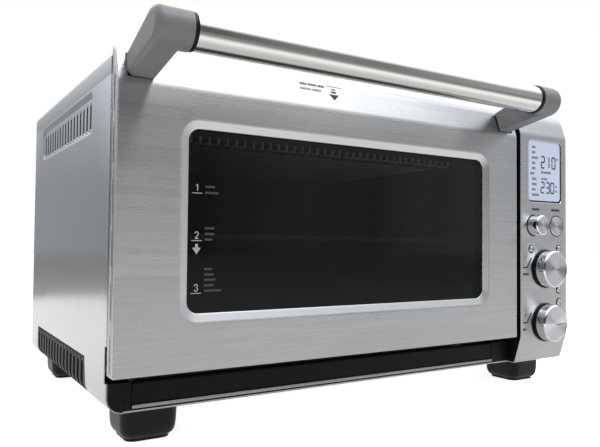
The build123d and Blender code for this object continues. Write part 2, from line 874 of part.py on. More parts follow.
def build_display_lens():
    """Clear lens set in the display opening, a little below the face."""
    outline = RectangleRounded(display_width - 2 * pin_fit, display_height - 2 * pin_fit, display_radius)
    front = door_face + display_recess
    return slab(Pos(display_middle, display_level) * outline, front, front + lens_thickness)


def build_display_module():
    """Backlit glass module behind the lens, standing on the board."""
    outline = Rectangle(display_width + 2 * sheet, display_height + 2 * sheet)
    front = max(fascia_inside, door_face + display_recess + lens_thickness) + slip
    return slab(Pos(display_middle, display_level) * outline, front, board_front)


def build_control_board():
    """Board on the fascia's posts."""
    outline = panel((fascia_left + fascia_wall + slip, right - fascia_wall - slip),
                    (casing_bottom + fascia_chin_height, display_bottom + display_height + board_margin))
    return slab(outline, board_front, board_front + board_thickness)


def build_encoders():
    """Rotary encoders on the board, with shafts through the fascia."""
    encoders = []
    for x, z in knob_places:
        outline = Pos(x, z) * RectangleRounded(encoder_size, encoder_size, encoder_corner)
        body = slab(outline, board_front - encoder_size / 2, board_front)
        shaft_front = door_face - knob_height + shaft_cover + shaft_end_gap
        encoders.append(body + rod_y(x, (shaft_front, board_front), z, shaft_diameter))
    return Compound(children=encoders)


def build_switches():
    """Key switches on the board behind the six buttons."""
    switches = []
    for x, z in button_places + tiny_places:
        outline = Pos(x, z) * Rectangle(switch_size, switch_size)
        switches.append(slab(outline, board_front - switch_height, board_front))
    return Compound(children=switches)


def build_knob_rings():
    """Black rings on the fascia under the knobs."""
    rings = []
    for x, z in knob_places:
        ring = turned([
            (shaft_diameter / 2 + slip, 0),
            (knob_ring_diameter / 2, 0),
            (knob_ring_diameter / 2, knob_ring_height - knob_ring_edge),
            (knob_ring_diameter / 2 - knob_ring_edge, knob_ring_height),
            (shaft_diameter / 2 + slip, knob_ring_height),
        ])
        rings.append(facing_user(ring, x, door_face, z))
    return Compound(children=rings)


def build_knob(place):
    """Turned knob with a chamfered rim, a shallow dished face and a bore for the shaft."""
    radius = knob_diameter / 2
    bottom = knob_ring_height + knob_lift
    bore = shaft_diameter / 2 + pin_fit
    knob = turned([
        (bore, bottom),
        (radius - knob_foot_edge, bottom),
        (radius, bottom + knob_foot_edge),
        (radius, knob_height - knob_edge),
        (radius - knob_edge, knob_height),
        (radius - 2 * knob_edge, knob_height),
        (radius - 2 * knob_edge - knob_dish, knob_height - knob_dish),
        (0, knob_height - knob_dish),
        (0, knob_height - shaft_cover),
        (bore, knob_height - shaft_cover),
    ])
    return facing_user(knob, place[0], door_face, place[1])


def build_button(place, diameter, stand, travel, edge):
    """Push button: a domed cap, a retaining flange behind the fascia and a stem towards its switch."""
    radius = diameter / 2
    back = -fascia_wall - slip
    flange_back = back - button_flange_thickness
    stem_tip = door_face - board_front + switch_height + travel + slip
    button = turned([
        (0, stem_tip),
        (switch_size / 3, stem_tip),
        (switch_size / 3, flange_back),
        (radius + button_flange, flange_back),
        (radius + button_flange, back),
        (radius, back),
        (radius, stand - edge),
        (radius - edge, stand),
        (radius - 2 * edge, stand),
        (radius - 2.5 * edge, stand - edge / 3),
        (0, stand - edge / 3),
    ])
    return facing_user(button, place[0], door_face, place[1])


# Cavity
def tube_places():
    """Depth and height of each heating tube."""
    upper = [(y, upper_tube_height) for y in even_places(upper_tube_count, upper_tube_pitch, fan_y)]
    lower = [(y, lower_tube_height) for y in even_places(lower_tube_count, lower_tube_pitch, fan_y)]
    return upper, lower


def cavity_wall_outline():
    """Side view of a cavity wall with holes for the heating tubes and the guard's rods."""
    outline = panel((frame_back, cavity_back), (cavity_wall_bottom, cavity_roof_height))
    notch_levels = (cavity_wall_bottom - past, cavity_sill + plinth_flange)
    outline -= panel((frame_back - past, plinth_face + sheet), notch_levels)
    upper, lower = tube_places()
    for y, z in upper + lower:
        outline -= Pos(y, z) * Circle(tube_diameter / 2 + slip)
    for y in guard_rod_places():
        outline -= Pos(y, guard_rod_height) * Circle(guard_wire / 2 + pin_fit)
    return outline


def guard_rod_places():
    """Depths of the two rods that carry the guard."""
    inset = guard_margin + guard_overhang
    return [frame_back + inset, cavity_back - inset]


def build_cavity_left_wall():
    """Coated steel wall on the left."""
    return side_prism(cavity_wall_outline(), cavity_left - sheet, cavity_left)


def build_cavity_right_wall():
    """Coated steel wall on the right, with air slots before the fan and a probe hole."""
    outline = cavity_wall_outline()
    for level in rack_levels:
        for y in even_places(air_slot_count, air_slot_pitch, fan_y):
            slot = SlotOverall(air_slot_height, air_slot_width, rotation=90)
            outline -= Pos(y, level + air_slot_rise) * slot
    outline -= Pos(probe_y, probe_height) * Circle(probe_diameter / 2 + pin_fit)
    return side_prism(outline, cavity_right, cavity_right + sheet)


def build_cavity_roof():
    """Roof sheet on top of the two walls."""
    return box_between((cavity_left - sheet, cavity_right + sheet), (frame_back, cavity_back),
                       (cavity_roof_height, cavity_roof_height + sheet))


def build_cavity_back():
    """Back sheet behind the walls and the roof."""
    levels = (cavity_wall_bottom, cavity_roof_height + sheet)
    outline = panel((cavity_left - sheet, cavity_right + sheet), levels)
    return slab(outline, cavity_back, cavity_back + sheet)


def build_rack_runners():
    """Pressed ledges on both walls, three levels a side."""
    runners = []
    for wall, inward in ((cavity_left, 1), (cavity_right, -1)):
        for level in rack_levels:
            ledge = make_face(Polyline(
                (wall, level),
                (wall + inward * runner_reach, level),
                (wall + inward * runner_reach, level - runner_face),
                (wall, level - runner_drop),
                close=True,
            ))
            runners.append(slab(ledge, frame_back + runner_margin, cavity_back - runner_margin))
    return Compound(children=runners)


def build_tubes(places):
    """Quartz tubes across the cavity."""
    reach = sheet + end_cap_length - end_cap_floor
    span = (cavity_left - reach, cavity_right + reach)
    return Compound(children=[rod_x(span, y, z, tube_diameter) for y, z in places])


def build_end_caps():
    """Ceramic ends on the outside of the cavity walls."""
    caps = []
    upper, lower = tube_places()
    for y, z in upper + lower:
        for wall, outward in ((cavity_left - sheet, -1), (cavity_right + sheet, 1)):
            shape = Pos(y, z) * RectangleRounded(end_cap_size, end_cap_size, end_cap_corner)
            cap = side_prism(shape, *sorted((wall, wall + outward * end_cap_length)))
            socket = sorted((wall - outward * past, wall + outward * (end_cap_length - end_cap_floor)))
            caps.append(cap - rod_x(socket, y, z, tube_diameter + 2 * pin_fit))
    return Compound(children=caps)


def build_element_guard():
    """Wire guard under the upper tubes: rods through the walls carry wires along the depth."""
    guard = Part()
    for y in guard_rod_places():
        guard += rod_x((cavity_left - sheet, cavity_right + sheet), y, guard_rod_height, guard_wire)
    count = int((cavity_width - 2 * guard_margin) / guard_pitch)
    front = frame_back + guard_margin
    back = cavity_back - guard_margin
    for x in even_places(count, guard_pitch, window_middle):
        guard += rod_y(x, (front, back), guard_height, guard_wire)
    return guard


def build_temperature_probe():
    """Probe rod through the right wall."""
    seat = cavity_right + sheet
    rod = rod_x((cavity_right - probe_length, seat), probe_y, probe_height, probe_diameter)
    return rod + rod_x((seat, seat + probe_head_length), probe_y, probe_height, probe_head_diameter)


# Convection fan
def build_fan_housing():
    """Round dish on the outside of the right wall."""
    start = cavity_right + sheet
    outer = fan_diameter / 2 + fan_running_gap
    dish = rod_x((start, start + fan_housing_depth), fan_y, fan_height, 2 * (outer + sheet))
    dish -= rod_x((start - past, start + fan_housing_depth - sheet), fan_y, fan_height, 2 * outer)
    shaft_hole = motor_shaft + 2 * motor_hole_gap
    return dish - rod_x((start, start + fan_housing_depth + past), fan_y, fan_height, shaft_hole)


def build_fan_motor():
    """Motor on the back of the housing with its shaft through it."""
    start = cavity_right + sheet + fan_housing_depth
    body = rod_x((start, start + motor_length), fan_y, fan_height, motor_diameter)
    body = chamfer(body.edges().group_by(Axis.X)[-1], motor_edge)
    shaft_start = start - fan_housing_depth + fan_running_gap
    return body + rod_x((shaft_start, start), fan_y, fan_height, motor_shaft)


def build_fan_impeller():
    """Radial impeller: a back disc with raked blades and a hub on the motor's shaft."""
    disc_x = cavity_right + sheet + fan_housing_depth - sheet - fan_running_gap
    hub_start = disc_x - fan_blade_depth - sheet
    disc = rod_x((disc_x - sheet, disc_x), fan_y, fan_height, fan_diameter)
    wheel = disc + rod_x((hub_start, disc_x), fan_y, fan_height, fan_hub_diameter)
    blade_length = (fan_diameter - fan_hub_diameter) / 2 - fan_blade_inset
    blade = Pos(0, fan_hub_diameter / 2 + blade_length / 2, 0)
    blade = blade * Rot(0, 0, fan_blade_rake) * Box(fan_blade_thickness, blade_length, fan_blade_depth)
    for index in range(fan_blades):
        turned_blade = Rot(0, 90, 0) * Rot(0, 0, 360 / fan_blades * index) * blade
        wheel += Pos(disc_x - sheet - fan_blade_depth / 2, fan_y, fan_height) * turned_blade
    return wheel - rod_x((hub_start - past, disc_x + past), fan_y, fan_height, motor_shaft + 2 * pin_fit)


# Rack and tray
def build_wire_rack():
    """Welded wire rack: a bent frame rod with wires along the depth between its front and back runs."""
    half = cavity_width / 2 - rack_side_gap - rack_rod / 2
    front = rack_front + rack_rod / 2
    back = front + rack_depth - rack_rod
    outline = Pos(window_middle, (front + back) / 2) * RectangleRounded(2 * half, back - front, rack_corner)
    start = outline.edges().sort_by(Axis.Y)[0]
    section = Plane(origin=start @ 0.5, z_dir=start % 0.5) * Circle(rack_rod / 2)
    ring = sweep(section, path=outline.wire())
    rack = Pos(0, 0, rack_height) * ring
    pitch = 2 * half / (rack_wire_count + 1)
    for x in even_places(rack_wire_count, pitch, window_middle):
        rack += rod_y(x, (front, back), rack_height, rack_wire)
    return rack


def build_crumb_tray():
    """Folded steel tray with a rolled lip that shows under its black front."""
    floor = tray_bottom
    sides = (cavity_left + tray_side_gap, cavity_right - tray_side_gap)
    wall_front = tray_front_face + tray_front_thickness
    back = wall_front + tray_depth
    rim = floor + tray_rim_height
    pan = box_between(sides, (wall_front, back), (floor, rim))
    pan -= box_between((sides[0] + sheet, sides[1] - sheet), (wall_front + sheet, back - sheet),
                       (floor + sheet, rim + past))
    lip_front = tray_front_face - tray_lip_reach
    profile = make_face(Polyline(
        (lip_front, floor),
        (wall_front + sheet, floor),
        (wall_front + sheet, floor + tray_lip_height),
        (lip_front, floor + tray_lip_height),
        close=True,
    ))
    nose = profile.vertices().group_by(Axis.X)[0]
    profile = fillet(nose, tray_lip_round)
    return pan + side_prism(profile, *tray_front_span)


def build_crumb_tray_front():
    """Black moulded front, slightly crowned, standing on the tray's lip."""
    bottom = tray_bottom + tray_lip_height
    top = plinth_top - slip
    back = tray_front_face + tray_front_thickness
    profile = make_face(Polyline(
        (tray_front_face, bottom),
        (back, bottom),
        (back, top),
        (tray_front_face, top),
        close=True,
    ))
    crest = profile.vertices().sort_by_distance(Vector(tray_front_face, top, 0))[0]
    profile = fillet(crest, tray_front_round)
    return side_prism(profile, *tray_front_span)


def build_tray_rails():
    """Angle rails on the base plate beside the tray."""
    front = casing_front + corner_block_depth + rail_setback
    back = tray_front_face + tray_front_thickness + tray_depth
    rails = []
    gap = tray_side_gap - slip
    for side, outward in ((cavity_left + gap, -1), (cavity_right - gap, 1)):
        angle = make_face(Polyline(
            (side, base_top),
            (side + outward * rail_height, base_top),
            (side + outward * rail_height, base_top + rail_thickness),
            (side + outward * rail_thickness, base_top + rail_thickness),
            (side + outward * rail_thickness, base_top + rail_height),
            (side, base_top + rail_height),
            close=True,
        ))
        runner = panel(sorted((side, side - outward * rail_height)), (base_top, tray_bottom))
        rails.append(slab(angle + runner, front, back))
    return Compound(children=rails)


# Feet
def build_foot(x, y):
    """Tapered foot with rounded corners and a recess for its pad."""
    low_size = foot_size - 2 * foot_taper
    top = Pos(x, y, casing_bottom) * RectangleRounded(foot_size, foot_size, foot_radius)
    low = Pos(x, y, foot_pad_height / 2) * RectangleRounded(low_size, low_size, foot_radius - foot_taper)
    foot = loft([low.face(), top.face()], ruled=True)
    recess_size = foot_size - 2 * foot_pad_inset + 2 * pin_fit
    recess = Pos(x, y) * RectangleRounded(recess_size, recess_size, foot_radius - foot_taper)
    return foot - level_slab(recess, 0, foot_pad_height)


def build_foot_pads():
    """Rubber pads that the oven stands on."""
    size = foot_size - 2 * foot_pad_inset
    outline = RectangleRounded(size, size, foot_radius - foot_taper)
    pads = []
    for x in foot_middles_x:
        for y in foot_middles_y:
            pads.append(level_slab(Pos(x, y) * outline, 0, foot_pad_height))
    return Compound(children=pads)


casing_top_cover, casing_side_left, casing_side_right = build_casing()
corner_block_left, corner_block_right = build_corner_blocks()
upper_places, lower_places = tube_places()

parts = {
    "casing_top": casing_top_cover,
    "casing_side_left": casing_side_left,
    "casing_side_right": casing_side_right,
    "side_grille_left": build_side_grille(left),
    "side_grille_right": build_side_grille(right),
    "rear_panel": build_rear_panel(),
    "cord_gland": build_cord_gland(),
    "casing_screws": build_casing_screws(),
    "base_plate": build_base_plate(),
    "front_frame": build_front_frame(),
    "plinth_strip": build_plinth_strip(),
    "corner_block_left": corner_block_left,
    "corner_block_right": corner_block_right,
    "hinge_bracket_left": build_hinge_bracket(hinge_xs[0], -1),
    "hinge_bracket_right": build_hinge_bracket(hinge_xs[1], 1),
    "hinge_leaves": Compound(children=[build_hinge_leaf(x) for x in hinge_xs]),
    "hinge_pins": build_hinge_pins(),
    "door_outer_panel": build_door_outer_panel(),
    "door_inner_panel": build_door_inner_panel(),
    "door_glass": build_door_glass(),
    "door_magnets": build_door_magnets(),
    "handle_bar": build_handle_bar(),
    "handle_bracket_left": build_handle_bracket(1),
    "handle_bracket_right": build_handle_bracket(-1),
    "handle_gaskets": build_handle_gaskets(),
    "control_fascia": build_control_fascia(),
    "display_lens": build_display_lens(),
    "display_module": build_display_module(),
    "control_board": build_control_board(),
    "encoders": build_encoders(),
    "key_switches": build_switches(),
    "knob_rings": build_knob_rings(),
    "knob_upper": build_knob(knob_places[0]),
    "knob_lower": build_knob(knob_places[1]),
    "button_raised": build_button(button_places[0], button_diameter, raised_button_stand,
                                  raised_button_travel, raised_button_edge),
    "button_flush": build_button(button_places[1], button_diameter, flush_button_stand,
                                 flush_button_travel, flush_button_edge),
    "cavity_wall_left": build_cavity_left_wall(),
    "cavity_wall_right": build_cavity_right_wall(),
    "cavity_roof": build_cavity_roof(),
    "cavity_back": build_cavity_back(),
    "rack_runners": build_rack_runners(),
    "upper_tubes": build_tubes(upper_places),
    "lower_tubes": build_tubes(lower_places),
    "tube_end_caps": build_end_caps(),
    "element_guard": build_element_guard(),
    "temperature_probe": build_temperature_probe(),
    "fan_housing": build_fan_housing(),
    "fan_motor": build_fan_motor(),
    "fan_impeller": build_fan_impeller(),
    "wire_rack": build_wire_rack(),
    "crumb_tray": build_crumb_tray(),
    "crumb_tray_front": build_crumb_tray_front(),
    "tray_rails": build_tray_rails(),
    "foot_pads": build_foot_pads(),
}
for number, place in enumerate(tiny_places, start=1):
    parts[f"button_tiny_{number}"] = build_button(place, tiny_button_diameter, tiny_button_stand,
                                                 tiny_button_travel, tiny_button_edge)
feet = {"feet_front": foot_middles_y[0], "feet_rear": foot_middles_y[1]}
for name, y in feet.items():
    parts[name] = Compound(children=[build_foot(x, y) for x in foot_middles_x])

for name, shape in parts.items():
    export_step(shape, f"parts/{name}.step")
print(len(parts), "nodes; overall depth", round(overall_depth, 1))
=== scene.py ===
import json
import math
import bmesh
import bpy
from mathutils import Matrix, Vector
from mathutils.geometry import tessellate_polygon


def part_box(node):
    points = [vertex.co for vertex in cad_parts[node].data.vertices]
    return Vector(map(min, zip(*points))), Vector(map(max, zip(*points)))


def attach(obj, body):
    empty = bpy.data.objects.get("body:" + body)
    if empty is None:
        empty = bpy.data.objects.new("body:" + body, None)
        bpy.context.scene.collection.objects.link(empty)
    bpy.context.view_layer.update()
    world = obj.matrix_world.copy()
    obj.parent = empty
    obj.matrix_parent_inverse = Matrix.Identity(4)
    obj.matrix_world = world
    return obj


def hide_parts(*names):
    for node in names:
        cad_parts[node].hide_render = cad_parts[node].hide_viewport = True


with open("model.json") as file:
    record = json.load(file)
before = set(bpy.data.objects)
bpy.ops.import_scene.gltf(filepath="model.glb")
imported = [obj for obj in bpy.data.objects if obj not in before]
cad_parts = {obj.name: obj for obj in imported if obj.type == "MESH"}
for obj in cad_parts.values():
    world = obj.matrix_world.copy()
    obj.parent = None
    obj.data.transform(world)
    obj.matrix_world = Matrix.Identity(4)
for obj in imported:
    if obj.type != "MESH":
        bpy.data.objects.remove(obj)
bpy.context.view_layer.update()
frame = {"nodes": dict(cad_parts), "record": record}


# Feet: four square feet moulded in black plastic with rounded undersides, screwed up into the base plate.
# Each has a rubber pad let into its underside, and the oven stands on these pads.
mm = 0.001
body_of = {node: body for body, nodes in frame["record"]["behaviour"]["bodies"].items() for node in nodes}


def set_inputs(tree, node, inputs):
    """Set a node's inputs to values, or link them from other nodes' outputs."""
    for key, value in inputs.items():
        if isinstance(value, bpy.types.NodeSocket):
            tree.links.new(value, node.inputs[key])
        else:
            node.inputs[key].default_value = value


def knot(tree, kind, inputs=None, **traits):
    """Add a shader node with its traits and inputs."""
    node = tree.nodes.new(kind)
    for trait, value in traits.items():
        setattr(node, trait, value)
    set_inputs(tree, node, inputs or {})
    return node


def new_group(name, inputs, outputs):
    """Start a node group for a surface effect, and give its tree, inputs and outputs."""
    tree = bpy.data.node_groups.new(name, "ShaderNodeTree")
    for label, kind, value in inputs:
        tree.interface.new_socket(label, in_out="INPUT", socket_type=kind).default_value = value
    for label in outputs:
        tree.interface.new_socket(label, in_out="OUTPUT", socket_type="NodeSocketFloat")
    return tree, tree.nodes.new("NodeGroupInput").outputs, tree.nodes.new("NodeGroupOutput")


def new_finish(name):
    """Start a material, and give it with its tree and its main shader."""
    material = bpy.data.materials.new(name)
    material.use_nodes = True
    return material, material.node_tree, material.node_tree.nodes["Principled BSDF"]


def between(tree, mask, low, high, start=0.0, end=1.0, ease="LINEAR"):
    """Spread a mask, from its start to its end, over a range of values."""
    limits = {"Value": mask, "From Min": start, "From Max": end, "To Min": low, "To Max": high}
    return knot(tree, "ShaderNodeMapRange", limits, interpolation_type=ease).outputs[0]


def blend_colours(tree, mask, dark, light):
    """Blend two colours by a mask."""
    inputs = {0: mask, 6: (*dark, 1.0), 7: (*light, 1.0)}
    return knot(tree, "ShaderNodeMix", inputs, data_type="RGBA").outputs[2]


moulded_grain, group_in, group_out = new_group(
    "moulded grain", [("Grain Scale", "NodeSocketFloat", 900.0)], ["Grain", "Cloud"])
spot = knot(moulded_grain, "ShaderNodeTexCoord").outputs["Object"]
fine = knot(moulded_grain, "ShaderNodeTexNoise",
            {"Vector": spot, "Scale": group_in["Grain Scale"], "Detail": 2.0})
cloud = knot(moulded_grain, "ShaderNodeTexNoise", {"Vector": spot, "Scale": 23.0, "Detail": 3.0})
set_inputs(moulded_grain, group_out, {"Grain": fine.outputs[0], "Cloud": cloud.outputs[0]})


def add_grain(tree, scale=900.0):
    """Add the moulded grain to a material, and give its outputs."""
    return knot(tree, "ShaderNodeGroup", {"Grain Scale": scale}, node_tree=moulded_grain).outputs


def plastic_finish(name, dark, light, roughness, grain_scale=900.0, gloss=0.3):
    """Moulded plastic or rubber with a spark-eroded grain."""
    material, tree, shader = new_finish(name)
    grain = add_grain(tree, grain_scale)
    dents = knot(tree, "ShaderNodeBump", {"Height": grain["Grain"], "Strength": 0.5, "Distance": 0.00006})
    set_inputs(tree, shader, {
        "Base Color": blend_colours(tree, grain["Cloud"], dark, light),
        "Roughness": between(tree, grain["Cloud"], roughness - 0.07, roughness + 0.07),
        "Normal": dents.outputs[0],
        "Specular IOR Level": gloss,
    })
    return material


def new_object(name, data):
    """Put an object into the scene."""
    thing = bpy.data.objects.new(name, data)
    bpy.context.scene.collection.objects.link(thing)
    return thing


def finish_piece(bm, name, finishes, nodes=(), body=None, outward=None, shell=0.0, bevel=0.0):
    """Make a mesh into a shaded piece, with its sheet thickness and edge rounding, on its body."""
    bmesh.ops.remove_doubles(bm, verts=bm.verts, dist=1e-6)
    bmesh.ops.recalc_face_normals(bm, faces=bm.faces)
    bm.normal_update()
    if outward:
        widest = max(bm.faces, key=lambda face: face.calc_area())
        if widest.normal.dot(Vector(outward)) < 0:
            bmesh.ops.reverse_faces(bm, faces=bm.faces)
    across = bm.loops.layers.uv.get("across_grain") or bm.loops.layers.uv.new("across_grain")
    for face in bm.faces:
        face.smooth = True
        for loop in face.loops:
            place = loop.vert.co
            loop[across].uv = (place.z + 0.5 * place.y, place.x + 0.37 * place.y)
    sharp = math.radians(32)
    for edge in bm.edges:
        edge.smooth = edge.calc_face_angle(0.0) < sharp
    mesh = bpy.data.meshes.new(name)
    bm.to_mesh(mesh)
    bm.free()
    for finish in finishes:
        mesh.materials.append(finish)
    piece = new_object(name, mesh)
    if shell:
        wall = piece.modifiers.new("sheet", "SOLIDIFY")
        wall.thickness = shell
        wall.offset = -1.0
        wall.use_even_offset = True
    if bevel:
        edges = piece.modifiers.new("edges", "BEVEL")
        edges.width = bevel
        edges.segments = 2
        edges.limit_method = "ANGLE"
        edges.angle_limit = sharp
    piece.modifiers.new("shading", "WEIGHTED_NORMAL").keep_sharp = True
    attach(piece, body or body_of[nodes[0]])
    if nodes:
        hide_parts(*nodes)


def dress(finish, bevel, *nodes):
    """Make pieces from their solids' own forms, with clean flats and edges rounded by a bevel in mm."""
    for node in nodes:
        bm = bmesh.new()
        bm.from_mesh(frame["nodes"][node].data)
        for face in bm.faces:
            face.material_index = 0
        bmesh.ops.remove_doubles(bm, verts=bm.verts, dist=2e-6)
        bmesh.ops.dissolve_limit(bm, angle_limit=math.radians(0.4), verts=bm.verts, edges=bm.edges)
        finish_piece(bm, node + "_piece", [finish], [node], bevel=bevel * mm)


def rounded_rectangle(width, height, radius, steps=5):
    """Closed outline about the origin with rounded corners."""
    outline = []
    for corner, (side, level) in enumerate(((1, -1), (1, 1), (-1, 1), (-1, -1))):
        middle = Vector((side * (width / 2 - radius), level * (height / 2 - radius)))
        for step in range(steps + 1):
            angle = (corner - 1 + step / steps) * math.pi / 2
            outline.append(middle + radius * Vector((math.cos(angle), math.sin(angle))))
    return outline


def bridge(bm, first, second, closed=True):
    """Join two rows of points by faces."""
    count = len(first)
    for index in range(count if closed else count - 1):
        after = (index + 1) % count
        bm.faces.new((first[index], first[after], second[after], second[index]))


def bridge_rows(bm, rows, closed=True):
    """Join each row of points to the next."""
    for first, second in zip(rows, rows[1:]):
        bridge(bm, first, second, closed)


def stack_loops(bm, loops):
    """Closed form through a stack of outlines."""
    rings = [[bm.verts.new(point) for point in loop] for loop in loops]
    bridge_rows(bm, rings)
    bm.faces.new(rings[0])
    bm.faces.new(rings[-1])


foot_plastic = plastic_finish("foot plastic", (0.006, 0.0062, 0.007), (0.013, 0.0135, 0.015), 0.34,
                              700.0, 0.22)
foot_side = 42 * mm
foot_corner = 9 * mm
foot_sole = [(23.5, 0.0), (12.0, 0.5), (8.0, 0.9), (5.6, 1.5), (3.7, 2.6), (2.2, 4.2), (1.3, 6.0), (1.0, 7.4)]
for node in ("feet_front", "feet_rear"):
    lo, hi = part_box(node)
    bm = bmesh.new()
    for x in (lo.x + foot_side / 2, hi.x - foot_side / 2):
        loops = []
        for height, inset in foot_sole:
            side = foot_side - 2 * inset * mm
            outline = rounded_rectangle(side, side, foot_corner - 0.5 * inset * mm)
            loops.append([(x + u, (lo.y + hi.y) / 2 + v, height * mm) for u, v in outline])
        stack_loops(bm, loops)
    finish_piece(bm, node + "_piece", [foot_plastic], [node])

pad_rubber = plastic_finish("pad rubber", (0.012, 0.012, 0.012), (0.03, 0.03, 0.029), 0.78, 500.0)
dress(pad_rubber, 0.3, "foot_pads")


# Base plate and tray rails: zinc-coated steel sheet, punched with cooling slots, and folded rails spot-welded
# to it. The sheet shows the flowery spangle of its zinc bath.
def zinc_finish(name, tone):
    """Hot-dipped zinc: crystals of slightly different greys and gloss."""
    material, tree, shader = new_finish(name)
    spot = knot(tree, "ShaderNodeTexCoord").outputs["Object"]
    flower = knot(tree, "ShaderNodeTexVoronoi", {"Vector": spot, "Scale": 110.0})
    shade = knot(tree, "ShaderNodeSeparateColor", {0: flower.outputs["Color"]}).outputs[0]
    dark = [0.78 * part for part in tone]
    set_inputs(tree, shader, {
        "Base Color": blend_colours(tree, shade, dark, tone),
        "Roughness": between(tree, shade, 0.32, 0.5),
        "Metallic": 0.9,
    })
    return material


zinc_sheet = zinc_finish("zinc sheet", (0.55, 0.56, 0.57))
dress(zinc_sheet, 0, "base_plate", "tray_rails")


# Cavity: two walls, a roof and a back of steel sheet with a baked dark coating, folded and screwed together,
# and three pairs of bent runners for the rack.
def coated_finish(name, dark, light, roughness):
    """Baked coating with a fine speckle."""
    material, tree, shader = new_finish(name)
    spot = knot(tree, "ShaderNodeTexCoord").outputs["Object"]
    fleck = knot(tree, "ShaderNodeTexNoise", {"Vector": spot, "Scale": 1500.0, "Detail": 1.0}).outputs[0]
    grain = add_grain(tree, 420.0)
    dents = knot(tree, "ShaderNodeBump", {"Height": grain["Grain"], "Strength": 0.25, "Distance": 0.0001})
    set_inputs(tree, shader, {
        "Base Color": blend_colours(tree, between(tree, fleck, -0.6, 1.6), dark, light),
        "Roughness": between(tree, grain["Cloud"], roughness - 0.08, roughness + 0.1),
        "Normal": dents.outputs[0],
        "Specular IOR Level": 0.25,
    })
    return material


cavity_coating = coated_finish("cavity coating", (0.006, 0.0066, 0.008), (0.015, 0.0158, 0.018), 0.5)
dress(cavity_coating, 0, "cavity_wall_left", "cavity_wall_right", "cavity_roof", "cavity_back",
      "rack_runners")


# Heating tubes: five quartz tubes in white ceramic ends that sit in the cavity walls. A guard of wires,
# welded to two dark rods, hangs below the upper three, with a temperature probe beside it. The guard wires
# are painted near-white, a painted glint that stands in for light caught on their bare plated metal.
def wire_finish(name, tone, roughness):
    """Plated or drawn wire with faint draw marks."""
    material, tree, shader = new_finish(name)
    grain = add_grain(tree, 260.0)
    dull = [0.7 * part for part in tone]
    set_inputs(tree, shader, {
        "Base Color": blend_colours(tree, grain["Cloud"], dull, tone),
        "Roughness": between(tree, grain["Grain"], roughness - 0.06, roughness + 0.1),
        "Metallic": 1.0,
    })
    return material


quartz = plastic_finish("quartz tube", (0.2, 0.195, 0.185), (0.3, 0.295, 0.28), 0.3, 500.0)
ceramic = plastic_finish("ceramic end", (0.68, 0.66, 0.6), (0.78, 0.76, 0.71), 0.6, 800.0)
plated_wire = wire_finish("plated wire", (0.62, 0.61, 0.59), 0.3)


def add_rod(bm, start, end, radius, sides=8):
    """Round wire between two points along one of the axes."""
    start, end = Vector(start), Vector(end)
    run = (end - start).normalized()
    first = run.orthogonal().normalized()
    second = run.cross(first)
    turns = [2 * math.pi * side / sides for side in range(sides)]
    rim = [radius * (math.cos(angle) * first + math.sin(angle) * second) for angle in turns]
    stack_loops(bm, [[point + spoke for spoke in rim] for point in (start, end)])


lo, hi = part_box("element_guard")
wire, wire_pitch, wire_height, wire_end, rod_height = 1.1 * mm, 7.8 * mm, 217.8 * mm, 4.6 * mm, 216.1 * mm
bare_end, rod_inset = 20 * mm, 8 * mm
wires = int((hi.x - lo.x - 2 * bare_end) / wire_pitch)
bm = bmesh.new()
for index in range(wires + 1):
    x = (lo.x + hi.x) / 2 + (index - wires / 2) * wire_pitch
    add_rod(bm, (x, lo.y + wire, wire_height), (x, hi.y - wire, wire_height), wire)
    for y in (lo.y + wire, hi.y - wire):
        add_rod(bm, (x, y, wire_height - wire), (x, y, wire_height + wire_end), wire)
for y in (lo.y + rod_inset, hi.y - rod_inset):
    before = set(bm.faces)
    add_rod(bm, (lo.x, y, rod_height), (hi.x, y, rod_height), wire)
    for face in set(bm.faces) - before:
        face.material_index = 1
# Painted glint: the guard wires' near-white colour stands in for light caught on bare metal wire.
painted_glint_wire = plastic_finish("pale guard wire", (0.86, 0.86, 0.85), (0.92, 0.92, 0.91), 0.4, gloss=0.5)
rack_wire = wire_finish("dark wire", (0.07, 0.07, 0.075), 0.45)
finish_piece(bm, "element_guard_piece", [painted_glint_wire, rack_wire], ["element_guard"])
dress(quartz, 0, "upper_tubes", "lower_tubes")
dress(ceramic, 0, "tube_end_caps")
dress(plated_wire, 0, "temperature_probe")


# Convection fan: a black-coated housing on the right wall, a small shaded motor behind it and a pressed
# steel impeller on the motor's shaft.
black_coat = coated_finish("black coat", (0.008, 0.008, 0.009), (0.017, 0.017, 0.018), 0.46)
dress(black_coat, 0, "fan_housing", "fan_motor")
dress(zinc_sheet, 0, "fan_impeller")


# Crumb tray: a folded steel pan with a bare lip that shows below its moulded black front.
# It slides out to the front on the rails.
bright_sheet = wire_finish("bright sheet", (0.42, 0.43, 0.44), 0.3)
dress(bright_sheet, 0.4, "crumb_tray")
black_plastic = plastic_finish("black plastic", (0.005, 0.0056, 0.0066), (0.0095, 0.0104, 0.012), 0.42,
                               gloss=0.14)
dress(black_plastic, 0.6, "crumb_tray_front")


# Wire rack: a welded rack of round wire with a dark baked coat, thick rods round the edge and thin ones
# across. It rides on the runners and is drawn out by the door.
dress(rack_wire, 0, "wire_rack")


# Front frame, hinges, plinth and corner blocks: a black-coated frame round the cavity's mouth with the hinge
# arms bolted to it, a folded strip behind the door's bottom edge, and a moulded block at each end of it.
dress(black_coat, 0, "front_frame", "plinth_strip", "hinge_bracket_left", "hinge_bracket_right",
      "hinge_leaves")
dress(black_plastic, 0.7, "corner_block_left", "corner_block_right")


